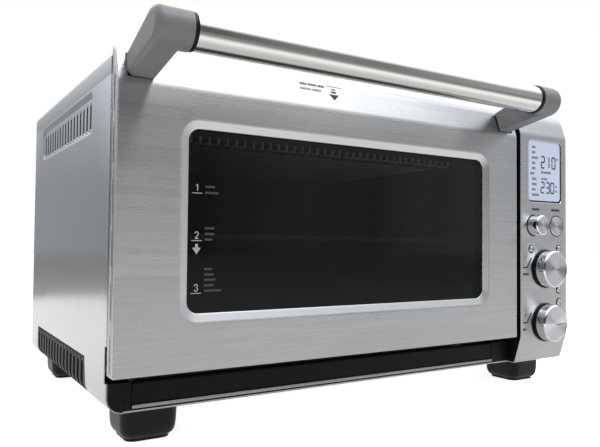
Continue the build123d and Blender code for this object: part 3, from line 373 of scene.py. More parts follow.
# Casing: two side panels and a top cover of satin stainless sheet, bent round the lower and upper edges and
# pressed in at the rear. Each side has a pressed field of upright vent slits, and a cut-out for its grille.
brushed_lines, group_in, group_out = new_group(
    "brushed lines", [("Stretch", "NodeSocketVector", (25.0, 1500.0, 1500.0))], ["Line", "Streak", "Smear"])
spot = knot(brushed_lines, "ShaderNodeTexCoord").outputs["Object"]
drawn = knot(brushed_lines, "ShaderNodeVectorMath", {0: spot, 1: group_in["Stretch"]}, operation="MULTIPLY")
line = knot(brushed_lines, "ShaderNodeTexNoise",
            {"Vector": drawn.outputs[0], "Scale": 1.0, "Detail": 5.0, "Roughness": 0.65})
wide = knot(brushed_lines, "ShaderNodeTexNoise",
            {"Vector": drawn.outputs[0], "Scale": 0.16, "Detail": 3.0, "Roughness": 0.6})
smear = knot(brushed_lines, "ShaderNodeTexNoise", {"Vector": spot, "Scale": 9.0, "Detail": 3.0})
set_inputs(brushed_lines, group_out,
           {"Line": line.outputs[0], "Streak": wide.outputs[0], "Smear": smear.outputs[0]})


def reckon(tree, operation, first, second):
    """Add or multiply two values."""
    return knot(tree, "ShaderNodeMath", {0: first, 1: second}, operation=operation).outputs[0]


def steel_finish(name, dark, light, stretch, roughness, spread, depth):
    """Brushed stainless steel: fine drawn lines that widen the gloss across the grain."""
    material, tree, shader = new_finish(name)
    lines = knot(tree, "ShaderNodeGroup", {"Stretch": stretch}, node_tree=brushed_lines).outputs
    worn = reckon(tree, "MULTIPLY", lines["Streak"], lines["Smear"])
    groove = knot(tree, "ShaderNodeBump", {"Height": lines["Line"], "Strength": 0.4, "Distance": depth})
    grain_way = knot(tree, "ShaderNodeTangent", direction_type="UV_MAP", uv_map="across_grain")
    set_inputs(tree, shader, {
        "Base Color": blend_colours(tree, lines["Line"], dark, light),
        "Roughness": between(tree, worn, roughness - 0.05, roughness + 0.12),
        "Metallic": 1.0,
        "Anisotropic": spread,
        "Tangent": grain_way.outputs[0],
        "Normal": groove.outputs[0],
    })
    return material


def fill_sheet(bm, outer, holes, flat):
    """Fill a flat outline, leaving its holes open; flat gives a point's two coordinates in the plane."""
    loops = [outer] + holes
    corners = [vert for loop in loops for vert in loop]
    outlines = [[Vector((*flat(vert.co), 0.0)) for vert in loop] for loop in loops]
    for triangle in tessellate_polygon(outlines):
        trio = [corners[index] for index in triangle]
        if len(set(trio)) == 3 and bm.faces.get(trio) is None:
            bm.faces.new(trio)


def rounded_path(points, radii, steps=6):
    """Open path whose inner corners are rounded to the given radii."""
    path = [Vector(points[0])]
    for index, radius in enumerate(radii, start=1):
        before, corner, after = (Vector(points[index + shift]) for shift in (-1, 0, 1))
        if not radius:
            path.append(corner)
            continue
        coming = (before - corner).normalized()
        going = (after - corner).normalized()
        half = coming.angle(going) / 2
        middle = corner + (coming + going).normalized() * radius / math.sin(half)
        start = corner + coming * radius / math.tan(half) - middle
        sweep = start.angle_signed(corner + going * radius / math.tan(half) - middle)
        for step in range(steps + 1):
            path.append(middle + Matrix.Rotation(-sweep * step / steps, 2) @ start)
    path.append(Vector(points[-1]))
    return [spot for index, spot in enumerate(path) if index == 0 or (spot - path[index - 1]).length > 1e-7]


def inset_path(path, distance):
    """The same path moved to its inner side, the right of its run."""
    moved = []
    for index, point in enumerate(path):
        normals = []
        for first, second in ((index - 1, index), (index, index + 1)):
            if 0 <= first and second < len(path):
                run = (path[second] - path[first]).normalized()
                normals.append(Vector((run.y, -run.x)))
        normal = sum(normals, Vector((0, 0))).normalized()
        moved.append(point + normal * distance / max(normal.dot(normals[0]), 0.5))
    return moved


casing_steel = steel_finish("satin casing steel", (0.56, 0.575, 0.6), (0.63, 0.645, 0.67),
                            (900.0, 900.0, 26.0), 0.16, 0.0, 0.000003)
sheet = 1.2 * mm
casing_bend = 12 * mm
top_bend = 5 * mm
rear_bend = 4.5 * mm
seam_height = 253.6 * mm
lo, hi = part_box("casing_side_left")
casing_front, casing_rear = lo.y, hi.y
casing_half, casing_floor, casing_roof = 235 * mm, 23.5 * mm, 270.3 * mm
rear_opening_half, rear_opening_top = 217 * mm, 249 * mm
bend_rows = [0.0, 0.2, 0.4, 0.6, 0.8, 1.0]


def rear_rows(path):
    """Rows of points that carry a casing outline round the rear bend and onto the rear flange."""
    rows = []
    for share in bend_rows:
        angle = share * math.pi / 2
        y = casing_rear - rear_bend + rear_bend * math.sin(angle)
        inner = inset_path(path, rear_bend * (1 - math.cos(angle)))
        rows.append([Vector((x, y, z)) for x, z in inner])
    rows.append([Vector((max(-rear_opening_half, min(rear_opening_half, spot.x)), casing_rear,
                         min(spot.z, rear_opening_top))) for spot in rows[-1]])
    return rows


grille_front, grille_rear = casing_front + 54 * mm, casing_front + 255.6 * mm
grille_top, grille_slope = 54.3 * mm, 6 * mm
field_front, field_length, field_low, field_high = casing_front + 49.3 * mm, 200 * mm, 220 * mm, 252 * mm
field_depth = 1.5 * mm
slit_count, slit_pitch, slit_width, slit_start = 17, 11.2 * mm, 3.4 * mm, 12 * mm
slit_low, slit_high = 224.4 * mm, 243.8 * mm
relief_back, relief_low, relief_high = casing_front + 4.7 * mm, 44.56 * mm, 69.4 * mm
side_path = rounded_path([(-casing_half + casing_bend, casing_floor), (-casing_half, casing_floor),
                          (-casing_half, seam_height)], [casing_bend])


def grille_edge(z):
    """Depth of the cut-out's slanting front edge at a height."""
    rise = (z - casing_floor - sheet) / (grille_top - casing_floor - sheet)
    return grille_front + grille_slope * max(0.0, min(1.0, rise))


for name, hand in (("casing_side_left", 1), ("casing_side_right", -1)):
    bm = bmesh.new()
    put = lambda x, y, z: bm.verts.new((hand * x, y, z))
    upright = lambda co: (co.y, co.z)
    rows = [[put(*spot) for spot in row] for row in rear_rows(side_path)]
    bridge_rows(bm, rows, closed=False)
    low_bend = side_path[:-1]
    rear_edge = [put(x, grille_rear, z) for x, z in low_bend]
    bridge(bm, rear_edge, rows[0][:-1], closed=False)
    front_edge = [put(x, casing_front, z) for x, z in low_bend]
    slant_edge = [put(x, grille_edge(z), z) for x, z in low_bend]
    bridge(bm, front_edge, slant_edge, closed=False)
    wall = -casing_half
    outer = [front_edge[-1], slant_edge[-1], put(wall, grille_front + grille_slope, grille_top),
             put(wall, grille_rear, grille_top), rear_edge[-1], rows[0][-2], rows[0][-1],
             put(wall, casing_front, seam_height)]
    if hand == 1:
        outer += [put(wall, casing_front, relief_high), put(wall, relief_back, relief_high),
                  put(wall, relief_back, relief_low), put(wall, casing_front, relief_low)]
    middle_y, middle_z = field_front + field_length / 2, (field_low + field_high) / 2
    rings = []
    for inset, depth, corner in ((-0.8, 0.0, 7.0), (0.0, 0.0, 6.4), (0.7, 0.12, 6.0), (3.8, 0.88, 4.0),
                                 (4.5, 1.0, 3.6)):
        outline = rounded_rectangle(field_length - 2 * inset * mm, field_high - field_low - 2 * inset * mm,
                                    corner * mm)
        rings.append([put(wall + depth * field_depth, middle_y + u, middle_z + v) for u, v in outline])
    bridge_rows(bm, rings)
    fill_sheet(bm, outer, [rings[0]], upright)
    slits = []
    for index in range(slit_count):
        y = field_front + slit_start + index * slit_pitch
        loops = []
        for grow, depth in ((1.4, 0.0), (1.0, 0.0), (0.5, 0.12), (0.0, 0.6)):
            outline = rounded_rectangle(slit_width + 2 * grow * mm, slit_high - slit_low + 2 * grow * mm,
                                        0.8 * mm, 2)
            loops.append([put(wall + field_depth + depth * mm, y + u, (slit_low + slit_high) / 2 + v)
                          for u, v in outline])
        bridge_rows(bm, loops)
        slits.append(loops[0])
    fill_sheet(bm, rings[-1], slits, upright)
    finish_piece(bm, name + "_piece", [casing_steel], [name], outward=(-hand, 0, 0), shell=sheet)

top_path = rounded_path([(-casing_half, seam_height), (-casing_half, casing_roof), (casing_half, casing_roof),
                         (casing_half, seam_height)], [top_bend, top_bend])
bm = bmesh.new()
rows = [[bm.verts.new((x, casing_front, z)) for x, z in top_path]]
rows += [[bm.verts.new(spot) for spot in row] for row in rear_rows(top_path)]
bridge_rows(bm, rows, closed=False)
finish_piece(bm, "casing_top_piece", [casing_steel], ["casing_top"], outward=(0, 0, 1), shell=sheet)


# Side grilles: black plastic grilles that follow the casing's lower bend, clipped into the cut-outs.
# Upright slots run from the flat of the wall down round the bend.
grille_recess, grille_wall = 0.3 * mm, 2.2 * mm
slot_count, slot_share, slot_low, slot_high = 15, 0.44, 27.2 * mm, 49.5 * mm
grille_path = inset_path(side_path[:-1], grille_recess) + [Vector((grille_recess - casing_half, z))
                                                           for z in (slot_high, grille_top - grille_recess)]
slot_rows = [row for row, spot in enumerate(grille_path) if slot_low <= spot.y < slot_high - 1e-6]
slots_front, slots_rear = grille_front + grille_slope + 5 * mm, grille_rear - 6 * mm
slot_step = (slots_rear - slots_front) / (slot_count - 1 + slot_share)
for node, hand in (("side_grille_left", 1), ("side_grille_right", -1)):
    bm = bmesh.new()
    columns = [[bm.verts.new((hand * x, grille_edge(z) + grille_recess, z)) for x, z in grille_path]]
    start = slots_front if hand == 1 else slots_front + slot_step / 2
    count = slot_count if hand == 1 else slot_count - 1
    edges = [start + (index + share) * slot_step for index in range(count) for share in (0.0, slot_share)]
    for y in edges + [grille_rear - grille_recess]:
        columns.append([bm.verts.new((hand * x, y, z)) for x, z in grille_path])
    for column in range(len(columns) - 1):
        for row in range(len(grille_path) - 1):
            if column % 2 == 0 or row not in slot_rows:
                bm.faces.new((columns[column][row], columns[column][row + 1],
                              columns[column + 1][row + 1], columns[column + 1][row]))
    finish_piece(bm, node + "_piece", [black_plastic], [node], outward=(-hand, 0, 0), shell=grille_wall)


# Rear: a slotted zinc-coated sheet behind the casing's flange, held by five pan-head screws, with an empty
# moulded bush pressed into its hole.
dress(zinc_sheet, 0, "rear_panel")
dress(plated_wire, 0.2, "casing_screws")
dress(black_plastic, 0.4, "cord_gland")


# Door skin: one sheet of brushed stainless steel, bent back at the crown and folded round the edges, with a
# bevelled window opening pressed into it and a column of vent slots through each end.
def front_skin(bm, path, face_y, columns, rim, stacks, end_holes, open_at):
    """Bent front sheet: a side-view path carried across columns, rolled ends, and openings in its flat."""
    grid = [[bm.verts.new((x, y, z)) for y, z in path] for x in columns]
    flat_rows = [row for row, spot in enumerate(path) if abs(spot.x - face_y) < 1e-7]
    low, high = flat_rows[0], flat_rows[-1]
    for col in range(len(columns) - 1):
        for row in range(len(path) - 1):
            if not low <= row < high and not open_at(col, row):
                bm.faces.new((grid[col][row], grid[col][row + 1], grid[col + 1][row + 1], grid[col + 1][row]))
    mouths = []
    for stack in stacks:
        rings = [[bm.verts.new((x, face_y + depth, z)) for x, z in outline] for outline, depth in stack]
        bridge_rows(bm, rings)
        mouths.append(rings[0])
    outer = [column[low] for column in grid] + [column[high] for column in reversed(grid)]
    fill_sheet(bm, outer, mouths, lambda co: (co.x, co.z))
    for end, way, holes in ((grid[0], -1, end_holes[0]), (grid[-1], 1, end_holes[1])):
        edge, x = end, end[0].co.x
        for share in (0.34, 0.67, 1.0):
            angle = share * math.pi / 2
            inner = inset_path(path, rim * (1 - math.cos(angle)))
            row = [bm.verts.new((x + way * rim * math.sin(angle), y, z)) for y, z in inner]
            bridge(bm, edge, row, closed=False)
            edge = row
        holes = [[bm.verts.new((x + way * rim, y, z)) for y, z in hole] for hole in holes]
        fill_sheet(bm, edge, holes, lambda co: (co.y, co.z))


def at(outline, u, v):
    """An outline moved to a middle."""
    return [(u + point[0], v + point[1]) for point in outline]


def stepped_outline(width, height, corner, steps, place, ring):
    """Rounded outlines about a place, each grown and set back by its pair in a ring of mm."""
    stack = []
    for grow, depth in ring:
        more = 2 * grow * mm
        outline = rounded_rectangle(width + more, height + more, (corner + grow) * mm, steps)
        stack.append((at(outline, *place), depth * mm))
    return stack


front_steel = steel_finish("brushed front steel", (0.43, 0.436, 0.444), (0.65, 0.656, 0.664),
                           (16.0, 1300.0, 1300.0), 0.285, 1.0, 0.000003)
# Painted light: the pressed bevel is the same sheet as the door, but this copy of the steel is lighter and
# rougher, so its colour carries the light on the bevel.
painted_light_bevel_steel = steel_finish("bevel steel", (0.66, 0.665, 0.67), (0.76, 0.765, 0.77),
                           (14.0, 900.0, 900.0), 0.46, 0.0, 0.0)
lo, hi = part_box("door_outer_panel")
door_rim = 1.0 * mm
door_rear = hi.y - 1.3 * mm
crown_height, crown_setback, crown_round, top_round = 25 * mm, 7 * mm, 14 * mm, 4 * mm
door_top = hi.z + 3 * mm
crown_points = [(lo.y, door_top - crown_height), (lo.y + crown_setback, door_top - top_round),
                (lo.y + crown_setback + top_round, door_top), (door_rear, door_top),
                (door_rear, hi.z - 1 * mm)]
door_path = rounded_path([(door_rear, lo.z), (lo.y + 2.4 * mm, lo.z), (lo.y, lo.z)] + crown_points,
                         [0, 1.6 * mm, crown_round, top_round, 1.2 * mm, 1.1 * mm])
notch_half = 2.5 * mm
door_columns = [lo.x + door_rim]
for x in (-213 * mm, 136 * mm):
    door_columns += [x - notch_half, x + notch_half]
door_columns.append(hi.x - door_rim)
window_x, window_z, window_w, window_h = -36.05 * mm, 155 * mm, 295.5 * mm, 130 * mm
window_ring = [(8.0, 0.0), (7.2, 0.0), (6.6, 0.06), (6.0, 0.2), (5.4, 0.42), (0.9, 2.2), (0.3, 2.4),
               (0.0, 2.75), (0.0, 3.4)]
window_stack = stepped_outline(window_w, window_h, 8.5, 8, (window_x, window_z), window_ring)
slot_outline = rounded_rectangle(2.0 * mm, 25 * mm, 0.8 * mm, 2)
door_slots = [at(slot_outline, lo.y + 7.2 * mm, (152.5 + 34.8 * step) * mm)
              for step in (-2.5, -1.5, -0.5, 0.5, 1.5, 2.5)]
bm = bmesh.new()
front_skin(bm, door_path, lo.y, door_columns, door_rim, [window_stack], (door_slots, door_slots),
           lambda col, row: col in (1, 3) and row == 0)
# Faces on the window's bevel take the lighter steel copy, painted light on the pressed bevel.
for face in bm.faces:
    middle = face.calc_center_median()
    reach = max(abs(middle.x - window_x) - window_w / 2, abs(middle.z - window_z) - window_h / 2)
    face.material_index = int(reach < 5.5 * mm and middle.y > lo.y + 0.1 * mm and middle.y < lo.y + 2.5 * mm)
finish_piece(bm, "door_skin", [front_steel, painted_light_bevel_steel], ["door_outer_panel"], outward=(0, -1, 0),
             shell=sheet)


# Door liner, hinge pins and magnets: a black-coated inner pan inside the skin, steel pins through the hinge
# leaves, and two magnets that draw the rack out with the door.
dress(black_coat, 0, "door_inner_panel")
dress(plated_wire, 0.3, "door_magnets")
dress(plated_wire, 0, "hinge_pins")


# Window: a smoked pane held behind the opening. The three shelf heights are printed on its face in white, as
# plain figures over a line with rows of small blocks beside them, and an arrow below the middle one.
glass, tree, shader = new_finish("smoked glass")
haze = add_grain(tree, 60.0)["Cloud"]
set_inputs(tree, shader, {
    "Base Color": blend_colours(tree, haze, (0.0005, 0.0009, 0.0016), (0.0009, 0.0015, 0.0026)),
    "Roughness": between(tree, haze, 0.02, 0.07),
    "Alpha": 0.46,
    "IOR": 1.7,
})
dress(glass, 0.5, "door_glass")
print_lift = 0.06 * mm


def add_patch(bm, corners, face_y):
    """Thin raised patch of ink on a front face, from corners in mm."""
    stack_loops(bm, [[(x * mm, face_y - rise, z * mm) for x, z in corners]
                     for rise in (-print_lift, print_lift)])


def add_bar(bm, start, end, width, face_y):
    """Thin raised bar of ink between two points of a front face, in mm."""
    start, end = Vector(start), Vector(end)
    side = (end - start).normalized() * width / 2
    side = Vector((-side.y, side.x))
    add_patch(bm, [start + side, start - side, end - side, end + side], face_y)


def add_stroke(bm, points, x, z, width, height, pen, face_y):
    """A pen line through points given as shares of a figure's width and height."""
    spots = [(x + u * width, z + v * height) for u, v in points]
    for start, end in zip(spots, spots[1:]):
        add_bar(bm, start, end, pen, face_y)


def add_blocks(bm, x, z, widths, height, face_y):
    """A row of small blocks in mm; a width below zero widens the gap."""
    for width in widths:
        if width > 0:
            add_bar(bm, (x, z), (x + width, z), height, face_y)
        x += abs(width) + 0.4


white_ink = plastic_finish("white ink", (0.5, 0.51, 0.52), (0.62, 0.63, 0.64), 0.55)
grey_ink = plastic_finish("grey ink", (0.085, 0.088, 0.092), (0.12, 0.124, 0.13), 0.55)
figure_strokes = {
    "1": [(0.15, 0.78), (0.6, 1.0), (0.6, 0.0)],
    "2": [(0.05, 0.75), (0.2, 0.95), (0.5, 1.02), (0.8, 0.95), (0.95, 0.75), (0.85, 0.52), (0.05, 0.0),
          (1.0, 0.0)],
    "3": [(0.05, 0.8), (0.25, 0.98), (0.65, 1.0), (0.9, 0.85), (0.88, 0.65), (0.6, 0.53), (0.4, 0.53),
          (0.62, 0.52), (0.95, 0.36), (0.93, 0.14), (0.65, 0.0), (0.25, 0.02), (0.02, 0.2)],
}
lo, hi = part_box("door_glass")
mark_x = -176.8
shelf_rows = (("1", 174.7, [(0.5, 7), (4.8, 5)]), ("2", 141.1, [(0.9, 4), (4.8, 5), (8.9, 5)]),
              ("3", 104.1, [(1.7, 9), (5.5, 5), (9.3, 6), (13.1, 5), (16.9, 4)]))
white_marks, grey_marks = bmesh.new(), bmesh.new()
for figure, z, rows in shelf_rows:
    add_stroke(white_marks, figure_strokes[figure], mark_x - 1.4, z + 1.6, 2.8, 4.6, 0.7, lo.y)
    add_bar(white_marks, (mark_x - 3.9, z), (mark_x + 3.9, z), 0.5, lo.y)
    for rise, count in rows:
        add_blocks(grey_marks, mark_x + 6.2, z + rise, [1.1] * count, 1.6, lo.y)
arrow_low, arrow_neck, arrow_high, arrow_half = 131.6, 135.6, 138.8, 3.2
for share in (0.1, 0.3, 0.5, 0.7, 0.9):
    half, z = arrow_half * share, arrow_low + 4.6 * share
    add_bar(white_marks, (mark_x - half, z), (mark_x + half, z), 0.95, lo.y)
add_bar(white_marks, (mark_x, arrow_neck), (mark_x, arrow_high), 2.0, lo.y)
finish_piece(white_marks, "shelf_marks", [white_ink], body="door")
finish_piece(grey_marks, "shelf_lines", [grey_ink], body="door")


# Handle: a satin steel tube held between two cast and painted brackets, with a black ring at each end of the
# tube and a thin black gasket under each foot.
tube_steel = steel_finish("tube steel", (0.6, 0.585, 0.56), (0.72, 0.705, 0.68),
                          (30.0, 2500.0, 2500.0), 0.15, 0.3, 0.000002)
bracket_paint = plastic_finish("grey bracket paint", (0.2, 0.203, 0.212), (0.225, 0.228, 0.238), 0.42,
                               gloss=0.4)
dress(tube_steel, 0, "handle_bar")
dress(bracket_paint, 0.6, "handle_bracket_left", "handle_bracket_right")
dress(black_plastic, 0.2, "handle_gaskets")


# Door print: a dark arrow printed on the crown under the handle, with a dashed line over it and two rows of
# small blocks beside it.
def skin_depth(z):
    """Depth of the door skin's front at a height."""
    for (y, low), (next_y, high) in zip(door_path, door_path[1:]):
        if low <= z <= high and high - low > 1e-6:
            return y + (next_y - y) * (z - low) / (high - low)


ink = plastic_finish("dark ink", (0.02, 0.02, 0.022), (0.035, 0.035, 0.037), 0.5)
pale_ink = plastic_finish("pale ink", (0.2, 0.2, 0.205), (0.27, 0.27, 0.275), 0.5)
dark_marks, pale_marks = bmesh.new(), bmesh.new()
add_blocks(dark_marks, -91.1, 265.9, [1.25] * 4 + [-0.6] + [1.25] * 5 + [-0.6] + [1.25] * 4, 2.0, 0.0)
add_blocks(pale_marks, -91.5, 261.8, [1.1] * 7 + [-0.6] + [1.1] * 6, 1.9, 0.0)
for index in range(6):
    x = -65.6 + 2.55 * index
    add_bar(dark_marks, (x, 267.2), (x + 1.9, 267.2), 0.9, 0.0)
add_bar(pale_marks, (-61.2, 264.6), (-57.2, 264.6), 1.3, 0.0)
add_bar(dark_marks, (-61.8, 262.2), (-56.8, 262.2), 1.5, 0.0)
add_patch(dark_marks, [(-64.2, 260.2), (-54.4, 260.2), (-59.6, 255.2)], 0.0)
for bm, name, finish in ((dark_marks, "door_print", ink), (pale_marks, "door_print_pale", pale_ink)):
    for vert in bm.verts:
        vert.co.y += skin_depth(vert.co.z)
    finish_piece(bm, name, [finish], body="door")


# Control fascia: a bent panel of the same brushed steel beside the door, with a recessed window for the
# display, holes for the buttons and shafts, and a chin that leans back at the bottom.
def circle(radius, steps=40):
    """Closed round outline about the origin."""
    turns = [2 * math.pi * step / steps for step in range(steps)]
    return [(radius * math.cos(angle), radius * math.sin(angle)) for angle in turns]


lo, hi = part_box("control_fascia")
fascia_rim = 1.0 * mm
fascia_top, end_round = hi.z + 6 * mm, 6 * mm
crown_points = [(lo.y, fascia_top - crown_height), (lo.y + crown_setback - 1 * mm, fascia_top - end_round),
                (lo.y + crown_setback + end_round - 1 * mm, fascia_top), (hi.y, fascia_top),
                (hi.y, casing_roof - 2 * mm)]
fascia_path = rounded_path([(hi.y, lo.z), (lo.y + 8 * mm, lo.z), (lo.y, lo.z + 26 * mm)] + crown_points,
                           [2 * mm, 13 * mm, 18 * mm, 18 * mm, 5.5 * mm, 1.2 * mm])
display_lip = ((1.8, 0.0), (1.2, 0.0), (0.75, 0.06), (0.35, 0.25), (0.0, 0.65), (0.0, 2.0))
hole_lip = ((1.2, 0.0), (0.8, 0.0), (0.4, 0.1), (0.15, 0.4), (0.15, 2.0))
push_places = [(182.75, 160.0), (218.75, 160.0)]
tiny_places = [(179.15, 136.5), (222.35, 136.5), (222.35, 95.0), (222.35, 82.0)]
knob_places = [(200.75, 116.4), (200.75, 62.4)]
fascia_stacks = [stepped_outline(51.6 * mm, 62.2 * mm, 4, 6, (201.6 * mm, 214.9 * mm), display_lip)]
for places, radius in ((push_places, 10.3), (tiny_places, 3.8), (knob_places, 3.3)):
    for x, z in places:
        fascia_stacks.append([(at(circle((radius + grow) * mm), x * mm, z * mm), depth * mm)
                              for grow, depth in hole_lip])
bm = bmesh.new()
front_skin(bm, fascia_path, lo.y, [lo.x + fascia_rim, hi.x - fascia_rim], fascia_rim, fascia_stacks,
           ([], []), lambda col, row: False)
# Painted shade: the fascia's left end wall, steel like the rest, takes the black plastic finish to stand for
# the dark gap beside the door.
for face in bm.faces:
    face.material_index = int(face.calc_center_median().x < lo.x + 0.2 * mm)
finish_piece(bm, "fascia_skin", [front_steel, black_plastic], ["control_fascia"], outward=(0, -1, 0),
             shell=sheet)


# Fascia print: dark ink on the steel, as a row of small blocks over each of the two buttons and beside each
# knob, where a cranked leader line joins it.
face_y = lo.y
bm = bmesh.new()
add_blocks(bm, 180.6, 176.2, [1.7, 1.2, 1.7, 1.4, 1.7, 1.3], 2.4, face_y)
add_blocks(bm, 210.6, 176.2, [1.4, 1.7, 1.2, 1.7, 1.4, 1.7, 1.3], 2.4, face_y)
for z, widths in ((118.0, [1.3, 1.5, 1.1, 1.5, 1.3]), (63.6, [1.3, 1.5, 1.1])):
    add_bar(bm, (179.2, z + 9.4), (172.6, z), 1.5, face_y)
    add_bar(bm, (172.8, z), (166.6, z), 1.4, face_y)
    add_blocks(bm, 166.6, z - 6.6, widths, 2.2, face_y)
finish_piece(bm, "fascia_print", [ink], body="oven_body")


# Display: a backlit liquid-crystal panel under a flat lens, with dark seven-part figures for a temperature
# and a time, and rows of small blocks beside them.
lens, tree, shader = new_finish("display face")
haze = add_grain(tree)["Cloud"]
pale = blend_colours(tree, haze, (0.5, 0.545, 0.7), (0.54, 0.585, 0.74))
set_inputs(tree, shader, {
    "Base Color": pale,
    "Roughness": between(tree, haze, 0.12, 0.2),
    "Emission Color": pale,
    "Emission Strength": 0.3,
})
lo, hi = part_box("display_lens")
lens_ring = ((0.0, 2.0), (0.0, 0.3), (-0.1, 0.1), (-0.3, 0.0))
# Painted shade: the lens sits up and to the left in its window, leaving a strip of the black module bare
# along the right and bottom edges in place of the recess's shadow.
bm = bmesh.new()
stack_loops(bm, [[(x, lo.y + depth, z) for x, z in outline] for outline, depth in stepped_outline(
    49.8 * mm, 60.6 * mm, 3.6, 6, (200.9 * mm, 215.6 * mm), lens_ring)])
finish_piece(bm, "display_lens_piece", [lens], ["display_lens"])
dress(black_plastic, 0, "display_module")

segments_of = {"0": "abcdef", "1": "bc", "2": "abged", "3": "abgcd"}


def add_figure(bm, figure, x, z, width, height, stroke, face_y):
    """A seven-part figure of slightly parted bars, from its lower left corner, in mm."""
    right, mid, high = x + width, z + height / 2, z + height
    bars = {
        "a": ((x, high), (right, high)), "b": ((right, high), (right, mid)), "c": ((right, mid), (right, z)),
        "d": ((x, z), (right, z)), "e": ((x, mid), (x, z)), "f": ((x, high), (x, mid)),
        "g": ((x, mid), (right, mid)),
    }
    for part in segments_of[figure]:
        start, end = (Vector(spot) for spot in bars[part])
        gap = (end - start).normalized() * 0.3
        add_bar(bm, start + gap, end - gap, stroke, face_y)


lcd_ink = plastic_finish("display ink", (0.016, 0.017, 0.03), (0.026, 0.028, 0.045), 0.35)
bm = bmesh.new()
for z, height, stroke, figures in ((219.0, 11.4, 1.5, (("2", 195.9), ("1", 203.2), ("0", 213.0))),
                                   (193.6, 10.6, 1.4, (("2", 195.3), ("3", 203.5), ("0", 210.9)))):
    for figure, x in figures:
        add_figure(bm, figure, x, z, 5.0, height, stroke, lo.y)
finish_piece(bm, "display_figures", [lcd_ink], body="oven_body")
word_ink = plastic_finish("display word ink", (0.13, 0.14, 0.19), (0.17, 0.18, 0.24), 0.4)
bm = bmesh.new()
rows = [[1.6, 1.2, 1.6], [1.2, 1.6, 1.3], [1.6, 1.2, 1.6, 1.3, 1.6], [1.3, 1.6, 1.2], [1.6, 1.3, 1.6],
        [2.2, 1.0, 1.6], [1.2, 1.6, 1.3, 1.6], [1.6, 1.3, 1.6, 1.2], [1.3, 1.6, 1.6],
        [1.6, 1.2, 1.6, 1.3, 1.6, 1.2]]
for index, widths in enumerate(rows):
    add_blocks(bm, 179.0 if index == 5 else 181.4, 239.2 - 5.35 * index, widths, 2.3, lo.y)
for x, z, widths, height in ((195.8, 214.4, [2.6, -0.2, 1.5, 1.7, 1.4, 1.7, 1.5, 1.7], 2.3),
                             (196.0, 207.6, [2.2, -0.3, 1.7, 1.4, 1.8], 2.3), (219.8, 229.0, [1.5, 1.0], 1.6),
                             (218.2, 200.6, [1.4, 1.2], 1.7), (218.2, 196.0, [1.4, 1.2], 1.7)):
    add_blocks(bm, x, z, widths, height, lo.y)
finish_piece(bm, "display_words", [word_ink], body="oven_body")


# Control board, encoders and key switches: a green board behind the fascia that carries two rotary encoders
# and a switch behind each button.
board_green = plastic_finish("board green", (0.012, 0.07, 0.03), (0.02, 0.1, 0.045), 0.4)
dress(board_green, 0, "control_board")
dress(plated_wire, 0, "encoders")
dress(black_plastic, 0, "key_switches")


# Knobs and buttons: turned metal with polished sides, a bright chamfer and a face brushed in circles. The
# knobs push onto the encoder shafts over black rings; the buttons are caught behind the fascia by a flange.
# The black rings under the knobs, and thin black rings set in the holes round the buttons, are painted shade
# of the gaps round them.
chrome, tree, shader = new_finish("polished side")
haze = add_grain(tree, 300.0)
set_inputs(tree, shader, {
    "Base Color": blend_colours(tree, haze["Cloud"], (0.7, 0.71, 0.73), (0.8, 0.81, 0.83)),
    "Roughness": between(tree, haze["Grain"], 0.05, 0.12),
    "Metallic": 1.0,
})

ringed_face, tree, shader = new_finish("circle-brushed face")
spot = knot(tree, "ShaderNodeTexCoord").outputs["Generated"]
flat = knot(tree, "ShaderNodeVectorMath", {0: spot, 1: (1.0, 0.0, 1.0)}, operation="MULTIPLY").outputs[0]
reach = knot(tree, "ShaderNodeVectorMath", {0: flat, 1: (0.5, 0.0, 0.5)},
             operation="DISTANCE").outputs["Value"]
rings = knot(tree, "ShaderNodeTexNoise", {"W": reach, "Scale": 90.0, "Detail": 4.0},
             noise_dimensions="1D").outputs[0]
groove = knot(tree, "ShaderNodeBump", {"Height": rings, "Strength": 0.25, "Distance": 0.00004})
set_inputs(tree, shader, {
    "Base Color": blend_colours(tree, rings, (0.58, 0.585, 0.6), (0.72, 0.725, 0.745)),
    "Roughness": between(tree, rings, 0.28, 0.38),
    "Metallic": 1.0,
    "Anisotropic": 0.95,
    "Anisotropic Rotation": 0.25,
    "Tangent": knot(tree, "ShaderNodeTangent", direction_type="RADIAL", axis="Y").outputs[0],
    "Normal": groove.outputs[0],
})


def turn(bm, side, face, place, steps=72):
    """Turned form facing the user, from radius and stand along its side and its face, in mm."""
    x, z = (part * mm for part in place)
    profile = [(*spot, 0) for spot in side] + [(*spot, 1) for spot in face]
    rings = []
    for radius, stand, finish in profile:
        y = face_y - stand * mm
        if radius:
            rings.append([bm.verts.new((x + u, y, z + v)) for u, v in circle(radius * mm, steps)])
        else:
            rings.append([bm.verts.new((x, y, z))] * steps)
    for first, second, (radius, stand, finish) in zip(rings, rings[1:], profile[1:]):
        for index in range(steps):
            after = (index + 1) % steps
            corners = [first[index], first[after], second[after], second[index]]
            corners = [vert for order, vert in enumerate(corners) if vert not in corners[:order]]
            bm.faces.new(corners).material_index = finish


def turned_piece(node, side, face, place, steps=72):
    """Knob or button with polished sides and a circle-brushed face."""
    bm = bmesh.new()
    turn(bm, side, face, place, steps)
    finish_piece(bm, node + "_piece", [chrome, ringed_face], [node])


def stem(foot, shaft, radius):
    """Side of a button's hidden end: a shaft from its foot to the flange that catches it."""
    flange, low, high = radius + 1.6, -4.2, -2.7
    return [(0, foot), (shaft, foot), (shaft, low), (flange, low), (flange, high), (radius, high)]


# Painted shade: black rings under the knobs stand for the shadowed gap round each knob.
dress(black_plastic, 0.2, "knob_rings")
